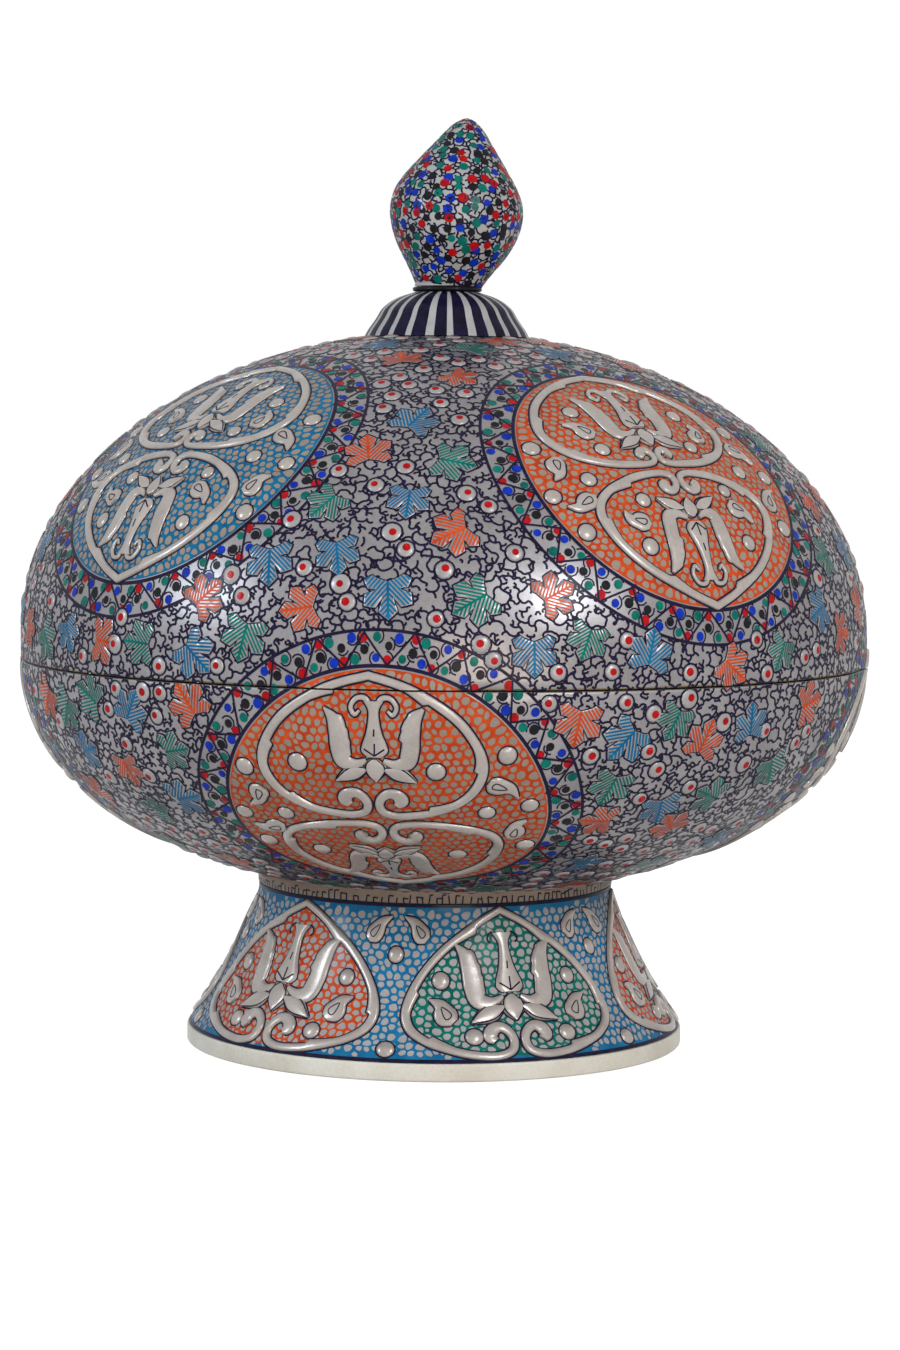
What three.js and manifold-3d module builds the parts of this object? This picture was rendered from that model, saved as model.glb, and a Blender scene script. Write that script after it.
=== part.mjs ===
// A papier-mache lidded bowl on a flared foot, with raised gesso frames on its skin.
// Millimetres, +Z up, the origin on the table under the middle of the bowl, the front towards -Y.
import * as THREE from "three";
import { mergeVertices } from "three/addons/utils/BufferGeometryUtils.js";
import Module from "manifold-3d";

// The body, which is the bowl and the lid together
const bodyRadius = 151; // widest radius of the closed body
const widestHeight = 147; // height of that widest level above the table
const lidRise = 107.4; // from the widest level up to the crown
const bowlDrop = 92.2; // from the widest level down to the underside
const bowlFullness = 2.56; // how square the underside's curve is, 2 being an ellipse
const lidFullness = 2; // the lid is an ellipse
const wall = 5; // thickness of the paper shells
const seamBelowWidest = 9.6; // the lid parts from the bowl a little below the widest level
const seamGap = 0.6; // dark line between the two rims
const rimBandHeight = 3; // paper band that finishes each rim
const glueGap = 0.3; // between pieces that are glued or rest on each other

// The collar that the lid drops over
const collarThickness = 2.4;
const collarBelowSeam = 16;
const collarAboveSeam = 9;
const lidClearance = 0.9; // between the collar and the lid, all round

// The foot
const neckRadius = 63.3;
const footRadius = 88.4; // where the flare meets its hoop
const footWall = 4;
const footOffset = -2.3; // the foot is glued a little to the left of the bowl's axis
const hoopHeight = 6.2;
const hoopProud = 0.7; // how far the hoop stands out of the foot
const hoopWidth = 7;
const hoopEdge = 0.8; // rounding of the hoop's edges
const neckRingWidth = 11.3;
const neckRingHeight = 3.55; // at its outer edge, between the foot and the bowl
const neckRingProud = 0.4; // how far the neck ring stands out of the foot
const discThickness = 5;
// The flare from the neck down: radius as a share of the way out, height as a share of the way down
const flareShares = [
  [0, 0], [0.012, 0.06], [0.052, 0.135], [0.165, 0.27], [0.44, 0.555], [0.72, 0.79], [1, 1],
];

// The finial
const pegRadius = 4;
const pegFit = 0.3; // round the peg in its holes
const pegInBud = 20; // how deep the peg goes into the bud
const pegHeadRadius = 8;
const pegHeadHeight = 3;
const washerRadius = 13;
const washerThickness = 2.5;
const capRadius = 29.4; // the striped cap under the bud
const capHeight = 16;
const beadRadius = 12.4;
const beadHeight = 1.6;
const beadEdge = 0.5; // rounding of the bead's edges
const budRadius = 23.7;
const budLength = 60;
const budLean = 6.6; // degrees, towards +X
const budStub = 4; // extra length under the bud, which its level cut takes off
// Radius as a share of the cap's radius, height as a share of its height
const capShares = [
  [1, 0], [0.957, 0.15], [0.9, 0.3], [0.85, 0.44], [0.8, 0.6], [0.74, 0.71], [0.665, 0.81], [0.56, 0.905],
  [0.4, 1],
];
// Radius as a share of the bud's radius, height as a share of its length
const budShares = [
  [0.49, 0], [0.56, 0.05], [0.655, 0.11], [0.835, 0.22], [0.962, 0.34], [1, 0.44], [0.965, 0.53],
  [0.87, 0.61], [0.71, 0.7], [0.46, 0.83], [0.23, 0.945], [0.1, 0.985], [0, 1],
];

// The raised gesso frames
const frameWidth = 3.6;
const frameRelief = 1; // how far a frame stands off the skin
const frameBed = 0.15; // between the true skin and a frame's underside
const footFrameBed = 0.35; // more on the foot, whose flare curves the other way
const frameSteps = 32;
// Each medallion's compass point: degrees round from the front, and the climb along the skin from the widest
// level
const lidMedallions = [
  { azimuth: 36.6, climb: 69.8 },
  { azimuth: 128, climb: 72.6 },
  { azimuth: 220, climb: 72.6 },
  { azimuth: 313, climb: 75.9 },
];
const bowlMedallions = [
  { azimuth: -8, climb: -56.8 },
  { azimuth: 86.5, climb: -56.8 },
  { azimuth: 176, climb: -56.8 },
  { azimuth: 266.5, climb: -56.8 },
];
const lowerFrameHalfWidth = 35.2;
const lowerFrameLength = 48.6; // from the middle of a frame's lobes to its point
const upperFrameHalfWidth = 36.5;
const upperFrameLength = 50;
const upperFrameAside = -3.2; // the upper frame stands a little to the left
const medallionFrameStart = 2.1; // from the line between two frames to the middle of their lobes
const medallionFrameDrop = 1.6; // that line is a little below the compass point
const footFrameStart = 2.1; // along the slope, from the hoop to the middle of the frame's lobes
const footFrameEnd = 2.1; // along the slope, from the frame's point to the neck
// The six round the foot were laid out by eye: degrees round from the front, and half width in degrees
const footFrames = [
  { azimuth: 20.5, halfWidth: 27.4 },
  { azimuth: 82, halfWidth: 26.8 },
  { azimuth: 140, halfWidth: 24.8 },
  { azimuth: 197.5, halfWidth: 24.8 },
  { azimuth: 254.5, halfWidth: 24.8 },
  { azimuth: 316, halfWidth: 29.1 },
];
// Half of a frame's centre line, from its point to the dip between its lobes: across as a share of the half
// width, along as a share of the length
const roundFrameShares = [
  [0, 1], [0.24, 0.955], [0.47, 0.885], [0.78, 0.72], [0.915, 0.59], [1, 0.43], [0.99, 0.31], [0.9, 0.19],
  [0.75, 0.095], [0.54, 0.03], [0.2, 0], [0, 0.06],
];
const frameShares = [
  [0, 1], [0.25, 0.92], [0.65, 0.735], [0.86, 0.572], [0.973, 0.414], [1, 0.283], [0.95, 0.189],
  [0.816, 0.11], [0.66, 0.062], [0.427, 0.014], [0.19, 0], [0, 0.06],
];

// Fineness, and the overrun that every cut shares
const bodySegments = 48;
const finialSegments = 32;
const pegSegments = 20;
const bowlSteps = 11;
const lidSteps = 11;
const climbSteps = 400; // for measuring along the skin
const overrun = 2;

const wasm = await Module();
wasm.setup();

const upZ = new THREE.Vector3(0, 0, 1);
const radians = THREE.MathUtils.degToRad;

const paperInside = { color: 0x17141a, roughness: 0.35, metalness: 0 };
const creamGround = { color: 0xd8d2c4, roughness: 0.3, metalness: 0 };
const creamEdge = { color: 0xe6dcc4, roughness: 0.4, metalness: 0 };
const footBlue = { color: 0x7fb2cc, roughness: 0.3, metalness: 0 };
const inkBlue = { color: 0x14122e, roughness: 0.25, metalness: 0 };
const gesso = { color: 0xcfc8bb, roughness: 0.3, metalness: 0 };
const rawPaper = { color: 0x9c8663, roughness: 0.8, metalness: 0 };
const pegWood = { color: 0xb88a56, roughness: 0.7, metalness: 0 };

const bowl = new THREE.Group();

/** Adds one named piece to the assembly. */
function addPiece(name, geometry, finish) {
  const mesh = new THREE.Mesh(geometry, new THREE.MeshStandardMaterial(finish));
  mesh.name = name;
  bowl.add(mesh);
  return mesh;
}

/** A solid of revolution about Z, from [radius, height] points listed up the outside and down the inside. */
function turned(points, segments) {
  const profile = points.map(([radius, height]) => new THREE.Vector2(radius, height));
  return new THREE.LatheGeometry(profile, segments).rotateX(Math.PI / 2);
}

/** The same, for a section that doesn't reach the axis: its outline closes on itself. */
function turnedRing(points, segments) {
  return turned([...points, points[0]], segments);
}

/** A three.js geometry as a manifold solid. */
function toSolid(geometry) {
  const bare = geometry.clone();
  bare.deleteAttribute("normal");
  bare.deleteAttribute("uv");
  const merged = mergeVertices(bare);
  return new wasm.Manifold(
    new wasm.Mesh({
      numProp: 3,
      vertProperties: merged.attributes.position.array,
      triVerts: new Uint32Array(merged.index.array),
    }),
  );
}

/** A manifold solid as a three.js geometry. */
function toGeometry(solid) {
  const mesh = solid.getMesh();
  return new THREE.BufferGeometry()
    .setAttribute("position", new THREE.BufferAttribute(mesh.vertProperties, 3))
    .setIndex(new THREE.BufferAttribute(mesh.triVerts, 1));
}

/** The angle parameter at which a skin curve reaches a height away from the widest level. */
function angleAtHeight(away, reach, fullness) {
  return Math.asin((away / reach) ** (fullness / 2));
}

/** The angle parameter at which a skin curve has come in to a radius. */
function angleAtRadius(radius, widest) {
  return Math.acos(radius / widest);
}

/** Points of a skin curve between two angle parameters. side is 1 above the widest level and -1 below it. */
function skinCurve(widest, reach, fullness, side, from, to, steps) {
  const points = [];
  for (let step = 0; step <= steps; step++) {
    const angle = from + ((to - from) * step) / steps;
    const away = reach * Math.sin(angle) ** (2 / fullness);
    points.push([widest * Math.cos(angle), widestHeight + side * away]);
  }
  return points;
}

/** The outer or inner radius of the body at a height. inset is 0 outside and the wall inside. */
function bodyRadiusAt(height, inset) {
  const away = height - widestHeight;
  const [reach, fullness] = away > 0 ? [lidRise, lidFullness] : [bowlDrop, bowlFullness];
  const share = Math.abs(away) / (reach - inset);
  return (bodyRadius - inset) * Math.sqrt(1 - share ** fullness);
}

/** The outline of the bowl's skin from its top edge down to the middle of its underside. */
function bowlOutline(inset, top, steps) {
  const drop = bowlDrop - inset;
  const start = angleAtHeight(widestHeight - top, drop, bowlFullness);
  return skinCurve(bodyRadius - inset, drop, bowlFullness, -1, start, Math.PI / 2, steps);
}

/** The outline of the lid's skin from its bottom edge up to the hole for the peg. */
function lidOutline(inset, steps) {
  const radius = bodyRadius - inset;
  const crownAngle = angleAtRadius(pegRadius + pegFit, radius);
  return skinCurve(radius, lidRise - inset, lidFullness, 1, 0, crownAngle, steps);
}

/** Where a flat-sided outline has a given value: reads the other of its two coordinates. */
function readOutline(outline, known, value) {
  const wanted = 1 - known;
  for (let i = 1; i < outline.length; i++) {
    const [from, to] = [outline[i - 1], outline[i]];
    if ((from[known] - value) * (to[known] - value) <= 0) {
      const share = (value - from[known]) / (to[known] - from[known]);
      return from[wanted] + (to[wanted] - from[wanted]) * share;
    }
  }
  throw new Error(`outline never reaches ${value}`);
}

const seamHeight = widestHeight - seamBelowWidest;
const bowlRimTop = seamHeight - seamGap / 2;
const lidRimBottom = seamHeight + seamGap / 2;
const bowlShellTop = bowlRimTop - rimBandHeight - glueGap;
const lidShellBottom = lidRimBottom + rimBandHeight + glueGap;
const bowlOutside = bowlOutline(0, bowlShellTop, bowlSteps);
const bowlInside = bowlOutline(wall, bowlShellTop, bowlSteps - 2);
const lidOutside = lidOutline(0, lidSteps);
const lidInside = lidOutline(wall, lidSteps - 2);

const radiusOn = (outline, height) => readOutline(outline, 1, height);
const heightOn = (outline, radius) => readOutline(outline, 0, radius);

function makeBowlShell() {
  return turned([...[...bowlOutside].reverse(), ...bowlInside], bodySegments);
}

function makeRimBand(bottom, top) {
  const section = [
    [bodyRadiusAt(bottom, 0), bottom],
    [bodyRadiusAt(top, 0), top],
    [bodyRadiusAt(top, wall), top],
    [bodyRadiusAt(bottom, wall), bottom],
  ];
  return turnedRing(section, bodySegments);
}

function makeCollar() {
  const bottom = seamHeight - collarBelowSeam;
  const middle = seamHeight - collarBelowSeam / 2;
  const top = seamHeight + collarAboveSeam;
  const guideRadius = bodyRadiusAt(seamHeight, wall) - lidClearance;
  const seatRadius = (height) => Math.min(radiusOn(bowlInside, height) - glueGap, guideRadius);
  const section = [
    [seatRadius(bottom), bottom],
    [seatRadius(middle), middle],
    [guideRadius, seamHeight],
    [guideRadius, top],
    [guideRadius - collarThickness, top],
    [guideRadius - collarThickness, seamHeight],
    [seatRadius(middle) - collarThickness, middle],
    [seatRadius(bottom) - collarThickness, bottom],
  ];
  return turnedRing(section, bodySegments);
}

function makeLidShell() {
  const section = [
    [bodyRadiusAt(lidShellBottom, 0), lidShellBottom],
    ...lidOutside,
    ...[...lidInside].reverse(),
    [bodyRadiusAt(lidShellBottom, wall), lidShellBottom],
  ];
  return turnedRing(section, bodySegments);
}

const bowlUnderside = widestHeight - bowlDrop;
const offAxis = Math.abs(footOffset);
const neckRingOuter = neckRadius + neckRingProud;
const neckRingInner = neckRingOuter - neckRingWidth;
// The ring's top follows the underside where the offset foot brings it nearest
const underRing = [
  [neckRingOuter - offAxis, heightOn(bowlOutside, neckRingOuter - offAxis)],
  ...bowlOutside.filter(([radius]) => radius < neckRingOuter - offAxis && radius > neckRingInner - offAxis),
  [neckRingInner - offAxis, heightOn(bowlOutside, neckRingInner - offAxis)],
];
const neckRingTop = underRing.map(([radius, height]) => [radius + offAxis, height - glueGap]);
const neckRingBottom = neckRingTop[0][1] - neckRingHeight;
const footTop = neckRingBottom - glueGap;
const flareBottom = hoopHeight + glueGap;
const discTop = bowlUnderside - glueGap;
const discBottom = discTop - discThickness;

/** The foot's outer radius and height down its flare, from the neck. */
const flare = flareShares.map(([out, down]) => [
  neckRadius + (footRadius - neckRadius) * out,
  footTop - (footTop - flareBottom) * down,
]);

/** The same flare from the hoop up, with the length of slope below each point. */
const slope = [];
for (const [radius, height] of [...flare].reverse()) {
  const last = slope[slope.length - 1];
  const length = last ? last.length + Math.hypot(radius - last.radius, height - last.height) : 0;
  slope.push({ radius, height, length });
}

function makeFootShell() {
  const socketBottom = discBottom - glueGap;
  const socket = [[neckRadius - footWall, footTop], [neckRadius - footWall, socketBottom]];
  const inside = flare
    .filter(([, height]) => height < socketBottom)
    .map(([radius, height]) => [radius - footWall, height]);
  return turnedRing([...[...flare].reverse(), ...socket, ...inside], bodySegments);
}

function makeFootHoop() {
  const outer = footRadius + hoopProud;
  const inner = outer - hoopWidth;
  const section = [
    [outer - hoopEdge, 0],
    [outer, hoopEdge],
    [outer, hoopHeight - hoopEdge],
    [outer - hoopEdge, hoopHeight],
    [inner, hoopHeight],
    [inner, 0],
  ];
  return turnedRing(section, bodySegments);
}

function makeFootDisc() {
  const radius = neckRadius - footWall - glueGap;
  return turned([[0, discBottom], [radius, discBottom], [radius, discTop], [0, discTop]], bodySegments);
}

function makeNeckRing() {
  const floor = [[neckRingInner, neckRingBottom], [neckRingOuter, neckRingBottom]];
  return turnedRing([...floor, ...neckRingTop], bodySegments);
}

const capFoot = heightOn(lidOutside, capRadius) + glueGap;
const capTop = capFoot + capHeight;
const beadBottom = capTop + glueGap;
const beadTop = beadBottom + beadHeight;
const budBottom = beadTop + glueGap;

function makeFinialCap() {
  const hole = pegRadius + pegFit;
  const outer = capShares.map(([across, up]) => [capRadius * across, capFoot + capHeight * up]);
  const crown = lidOutside.filter(([radius]) => radius < capRadius).reverse();
  const seat = crown.map(([radius, height]) => [radius, height + glueGap]);
  return turnedRing([...outer, [hole, capTop], ...seat], finialSegments);
}

function makeFinialBead() {
  const hole = pegRadius + pegFit;
  const section = [
    [beadRadius - beadEdge, beadBottom],
    [beadRadius, beadBottom + beadEdge],
    [beadRadius, beadTop - beadEdge],
    [beadRadius - beadEdge, beadTop],
    [hole, beadTop],
    [hole, beadBottom],
  ];
  return turnedRing(section, finialSegments);
}

function makeBud() {
  const stub = [[0, -budStub], [budRadius * budShares[0][0], -budStub]];
  const outline = budShares.map(([across, up]) => [budRadius * across, budLength * up]);
  const leaning = turned([...stub, ...outline], finialSegments)
    .rotateY(radians(budLean))
    .translate(0, 0, budBottom);
  const side = 4 * budRadius;
  const levelCut = new THREE.BoxGeometry(side, side, side).translate(0, 0, budBottom - side / 2);
  const holeLength = pegInBud + overrun;
  const holeRadius = pegRadius + pegFit;
  const pegHole = new THREE.CylinderGeometry(holeRadius, holeRadius, holeLength, pegSegments)
    .rotateX(Math.PI / 2)
    .translate(0, 0, budBottom + pegInBud - holeLength / 2);
  return toGeometry(toSolid(leaning).subtract(toSolid(levelCut)).subtract(toSolid(pegHole)));
}

const washerTop = heightOn(lidInside, washerRadius) - glueGap;
const pegHeadTop = washerTop - washerThickness - glueGap;

function makeWasher() {
  const hole = pegRadius + pegFit;
  const bottom = washerTop - washerThickness;
  return turnedRing(
    [[washerRadius, bottom], [washerRadius, washerTop], [hole, washerTop], [hole, bottom]], pegSegments,
  );
}

function makePeg() {
  const headBottom = pegHeadTop - pegHeadHeight;
  const top = budBottom + pegInBud - glueGap;
  const outline = [
    [0, headBottom], [pegHeadRadius, headBottom], [pegHeadRadius, pegHeadTop], [pegRadius, pegHeadTop],
    [pegRadius, top], [0, top],
  ];
  return turned(outline, pegSegments);
}

/** A point that leaves the bowl's axis towards an azimuth, where 0 is the front. */
function around(radius, azimuth, height) {
  return new THREE.Vector3(radius * Math.sin(azimuth), -radius * Math.cos(azimuth), height);
}

/** The height reached by going along the skin from the widest level: up the lid, or down the bowl. */
function heightAfterClimb(climb) {
  const side = Math.sign(climb);
  const [reach, fullness] = side > 0 ? [lidRise, lidFullness] : [bowlDrop, bowlFullness];
  const fine = skinCurve(bodyRadius, reach, fullness, side, 0, Math.PI / 2, climbSteps);
  let left = Math.abs(climb);
  for (let i = 1; i < fine.length; i++) {
    const [from, to] = [fine[i - 1], fine[i]];
    const step = Math.hypot(to[0] - from[0], to[1] - from[1]);
    if (left <= step) return from[1] + ((to[1] - from[1]) * left) / step;
    left -= step;
  }
  throw new Error(`the skin is shorter than ${climb}`);
}

/** How far outside the body's skin a point is, as the value and the gradient of the skin's equation. */
function skinEquation(point) {
  const away = point.z - widestHeight;
  const [reach, fullness] = away > 0 ? [lidRise, lidFullness] : [bowlDrop, bowlFullness];
  const share = Math.abs(away) / reach;
  const value = (point.x ** 2 + point.y ** 2) / bodyRadius ** 2 + share ** fullness - 1;
  const gradient = new THREE.Vector3(
    (2 * point.x) / bodyRadius ** 2,
    (2 * point.y) / bodyRadius ** 2,
    (Math.sign(away) * fullness * share ** (fullness - 1)) / reach,
  );
  return { value, gradient };
}

/** Lays a flat drawing on the body as a compass would, keeping every distance from the compass point. */
function onBody(azimuth, height) {
  const middle = around(bodyRadiusAt(height, 0), azimuth, height);
  const outward = skinEquation(middle).gradient.normalize();
  const right = new THREE.Vector3(Math.cos(azimuth), Math.sin(azimuth), 0);
  const up = new THREE.Vector3().crossVectors(outward, right);
  return (across, along, lift) => {
    const reach = Math.hypot(across, along);
    const heading = right.clone().multiplyScalar(across).addScaledVector(up, along).normalize();
    const point = new THREE.Vector3();
    let dip = 0;
    for (let turn = 0; turn < 20; turn++) {
      point.copy(middle).addScaledVector(heading, reach * Math.cos(dip));
      point.addScaledVector(outward, -reach * Math.sin(dip));
      const travel = heading.clone().multiplyScalar(-reach * Math.sin(dip));
      travel.addScaledVector(outward, -reach * Math.cos(dip));
      const { value, gradient } = skinEquation(point);
      dip -= value / gradient.dot(travel);
    }
    return point.addScaledVector(skinEquation(point).gradient.normalize(), lift);
  };
}

/** Lays flat drawing places on the foot: along runs up the slope from the hoop. */
function onFoot(azimuth) {
  return (across, along, lift) => {
    let i = 1;
    while (i < slope.length - 1 && along > slope[i].length) i++;
    const [from, to] = [slope[i - 1], slope[i]];
    const run = to.length - from.length;
    const share = (along - from.length) / run;
    const radius = from.radius + (to.radius - from.radius) * share;
    const height = from.height + (to.height - from.height) * share;
    const outX = ((to.height - from.height) / run) * lift;
    const outZ = ((from.radius - to.radius) / run) * lift;
    const point = around(radius + outX, azimuth + across / radius, height + outZ);
    point.x += footOffset;
    return point;
  };
}

/** The closed centre line of a frame, drawn flat. flip is -1 for one that hangs point down. */
function frameLine(shares, halfWidth, length, start, flip, aside) {
  const right = shares.map(([out, up]) => [out * halfWidth, start + flip * up * length]);
  const left = right.slice(1, -1).reverse().map(([out, up]) => [-out, up]);
  const loop = [...right, ...left].map(([x, y]) => new THREE.Vector3(aside + x, y, 0));
  return new THREE.CatmullRomCurve3(loop, true, "centripetal").getPoints(frameSteps).slice(0, frameSteps);
}

/** A raised band along a closed flat line, laid on a skin with a bed under it. */
function makeFrame(line, lay, bed) {
  const positions = [];
  line.forEach((point, i) => {
    const before = line[(i + line.length - 1) % line.length];
    const after = line[(i + 1) % line.length];
    const side = new THREE.Vector3().subVectors(after, before).cross(upZ).normalize();
    for (const [offset, lift] of [
      [-frameWidth / 2, bed],
      [frameWidth / 2, bed],
      [frameWidth / 2, bed + frameRelief],
      [-frameWidth / 2, bed + frameRelief],
    ]) {
      positions.push(...lay(point.x + side.x * offset, point.y + side.y * offset, lift).toArray());
    }
  });
  const faces = [];
  for (let i = 0; i < line.length; i++) {
    const next = (i + 1) % line.length;
    for (let corner = 0; corner < 4; corner++) {
      const other = (corner + 1) % 4;
      const [a, b, c, d] = [4 * i + corner, 4 * i + other, 4 * next + other, 4 * next + corner];
      faces.push(a, b, c, a, c, d);
    }
  }
  const geometry = new THREE.BufferGeometry().setAttribute(
    "position", new THREE.Float32BufferAttribute(positions, 3),
  );
  geometry.setIndex(faces);
  return toSolid(geometry).volume() < 0 ? geometry.setIndex(faces.reverse()) : geometry;
}

/** The part of a solid on one side of the seam: side is 1 above it and -1 below it. */
function trimAtSeam(geometry, side) {
  const size = 4 * bodyRadius;
  const edge = seamHeight + (side * seamGap) / 2;
  const cutter = new THREE.BoxGeometry(size, size, size).translate(0, 0, edge - (side * size) / 2);
  return toGeometry(toSolid(geometry).subtract(toSolid(cutter)));
}

const upperFrameLine = frameLine(
  roundFrameShares, upperFrameHalfWidth, upperFrameLength, medallionFrameStart - medallionFrameDrop, 1,
  upperFrameAside,
);
const lowerFrameLine = frameLine(
  frameShares, lowerFrameHalfWidth, lowerFrameLength, -medallionFrameStart - medallionFrameDrop, -1, 0,
);

addPiece("foot_hoop", makeFootHoop(), creamEdge).position.x = footOffset;
addPiece("foot_shell", makeFootShell(), footBlue).position.x = footOffset;
addPiece("foot_top_disc", makeFootDisc(), rawPaper).position.x = footOffset;
addPiece("neck_ring", makeNeckRing(), creamGround).position.x = footOffset;
addPiece("bowl_shell", makeBowlShell(), creamGround);
addPiece("bowl_rim_band", makeRimBand(bowlRimTop - rimBandHeight, bowlRimTop), creamEdge);
addPiece("bowl_collar", makeCollar(), paperInside);
addPiece("lid_shell", makeLidShell(), creamGround);
addPiece("lid_rim_band", makeRimBand(lidRimBottom, lidRimBottom + rimBandHeight), creamEdge);
addPiece("finial_cap", makeFinialCap(), inkBlue);
addPiece("finial_bead", makeFinialBead(), inkBlue);
addPiece("finial_bud", makeBud(), gesso);
addPiece("finial_peg", makePeg(), pegWood);
addPiece("peg_washer", makeWasher(), rawPaper);

const slopeLength = slope[slope.length - 1].length;
const footFrameLength = slopeLength - footFrameStart - footFrameEnd;
const widestShare = frameShares.find(([out]) => out === 1)[1];
const widestRadius = -onFoot(0)(0, footFrameStart + footFrameLength * widestShare, 0).y;

footFrames.forEach(({ azimuth, halfWidth }, i) => {
  const line = frameLine(
    frameShares, widestRadius * radians(halfWidth), footFrameLength, footFrameStart, 1, 0,
  );
  addPiece(`foot_cartouche_${i + 1}`, makeFrame(line, onFoot(radians(azimuth)), footFrameBed), gesso);
});

lidMedallions.forEach(({ azimuth, climb }, i) => {
  const lay = onBody(radians(azimuth), heightAfterClimb(climb));
  addPiece(`lid_medallion_${i + 1}_upper_frame`, makeFrame(upperFrameLine, lay, frameBed), gesso);
  addPiece(`lid_medallion_${i + 1}_lower_frame`, makeFrame(lowerFrameLine, lay, frameBed), gesso);
});

bowlMedallions.forEach(({ azimuth, climb }, i) => {
  const lay = onBody(radians(azimuth), heightAfterClimb(climb));
  const upper = makeFrame(upperFrameLine, lay, frameBed);
  addPiece(`bowl_medallion_${i + 1}_upper_frame`, trimAtSeam(upper, -1), gesso);
  addPiece(`bowl_medallion_${i + 1}_lower_frame`, makeFrame(lowerFrameLine, lay, frameBed), gesso);
  addPiece(`bowl_medallion_${i + 1}_tip_on_lid`, trimAtSeam(upper, 1), gesso);
});

export default bowl;
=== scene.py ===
"""The looks of a papier-mache lidded bowl: lacquered shells, painted ground and raised plaster ornament.

Everything is drawn in millimetres. A flat drawing is bent onto the bowl, the lid or the foot, and turned into
metres when its piece is made.
"""

import logging
import math
from collections import defaultdict
from collections.abc import Callable, Sequence
from dataclasses import dataclass, field, replace
from enum import Enum
from functools import cache
from random import Random

import bmesh
import bpy
import numpy as np
from bmesh.types import BMEdge, BMesh, BMFace, BMVert
from bpy.types import ID, Material, Mesh, Node, NodeSocket, NodeTree, Object
from mathutils import Matrix, Vector
from mathutils.geometry import delaunay_2d_cdt
from numpy.random import Generator, default_rng


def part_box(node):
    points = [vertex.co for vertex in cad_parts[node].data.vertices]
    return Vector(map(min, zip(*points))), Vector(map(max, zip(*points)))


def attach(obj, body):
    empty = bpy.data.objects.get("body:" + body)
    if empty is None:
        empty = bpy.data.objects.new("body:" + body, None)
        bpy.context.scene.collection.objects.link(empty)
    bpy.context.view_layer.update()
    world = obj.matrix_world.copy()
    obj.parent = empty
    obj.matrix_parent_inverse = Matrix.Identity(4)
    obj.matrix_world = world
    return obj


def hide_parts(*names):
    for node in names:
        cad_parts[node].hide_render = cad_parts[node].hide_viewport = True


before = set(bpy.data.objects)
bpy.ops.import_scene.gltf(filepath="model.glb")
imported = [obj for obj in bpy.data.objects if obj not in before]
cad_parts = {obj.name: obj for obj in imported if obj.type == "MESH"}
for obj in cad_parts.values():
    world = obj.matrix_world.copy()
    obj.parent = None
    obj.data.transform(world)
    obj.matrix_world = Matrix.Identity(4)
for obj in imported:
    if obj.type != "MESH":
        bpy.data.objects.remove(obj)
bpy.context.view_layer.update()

log = logging.getLogger("lidded_bowl")

METRES = 0.001  # one millimetre
FULL_TURN = 2 * math.pi
SAME_PLACE = 1e-4
SHARP_ANGLE = math.radians(50)

WHITE = (1, 1, 1, 1)

Colour = tuple[float, float, float]
Array = np.ndarray
Bend = Callable[[Array], Array]
Pairs = Sequence[tuple[float, float]]
Shares = Sequence[tuple[float, float, float]]


def node_box(node: str) -> tuple[Vector, Vector]:
    """Gives a node's lowest and highest corners in millimetres."""
    low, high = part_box(node)
    return Vector(low) / METRES, Vector(high) / METRES


def node_levels(node: str) -> tuple[float, float]:
    """Gives a node's lowest and highest levels in millimetres."""
    low, high = node_box(node)
    return low.z, high.z


# Finishes


# The tone group's sockets: their way, their kind and their names
TONE_SOCKETS = (
    ("INPUT", "Color", ("Colour", "Deep Colour")),
    ("INPUT", "Float", ("Patch Scale", "Grain Scale", "Roughness", "Roughness Spread")),
    ("OUTPUT", "Color", ("Colour",)),
    ("OUTPUT", "Float", ("Roughness", "Height")),
)
PATCH_DETAIL = 3
GRAIN_DETAIL = 2
GRAIN_SHARE = 0.45
# Between these levels of the noise the colour goes over into its deep one
DEEP_SHARES = (0.5, 0.95)
BUMP_SHARE = 0.6
SHEEN_LEVEL = 0.03


def set_inputs(node: Node, values: dict[str, float | Sequence[float]]) -> None:
    """Sets a node's inputs by name."""
    for name, value in values.items():
        node.inputs[name].default_value = value


def add_sum(tree: NodeTree, operation: str, *terms: NodeSocket | float) -> NodeSocket:
    """Adds a sum to a node tree.

    Args:
        tree: The tree.
        operation: The kind of sum.
        terms: What goes into it: numbers, or what other nodes put out.

    Returns:
        What the sum puts out.
    """
    node = tree.nodes.new("ShaderNodeMath")
    node.operation = operation
    for socket, term in zip(node.inputs, terms):
        if isinstance(term, NodeSocket):
            tree.links.new(term, socket)
        else:
            socket.default_value = term
    return node.outputs[0]


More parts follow.
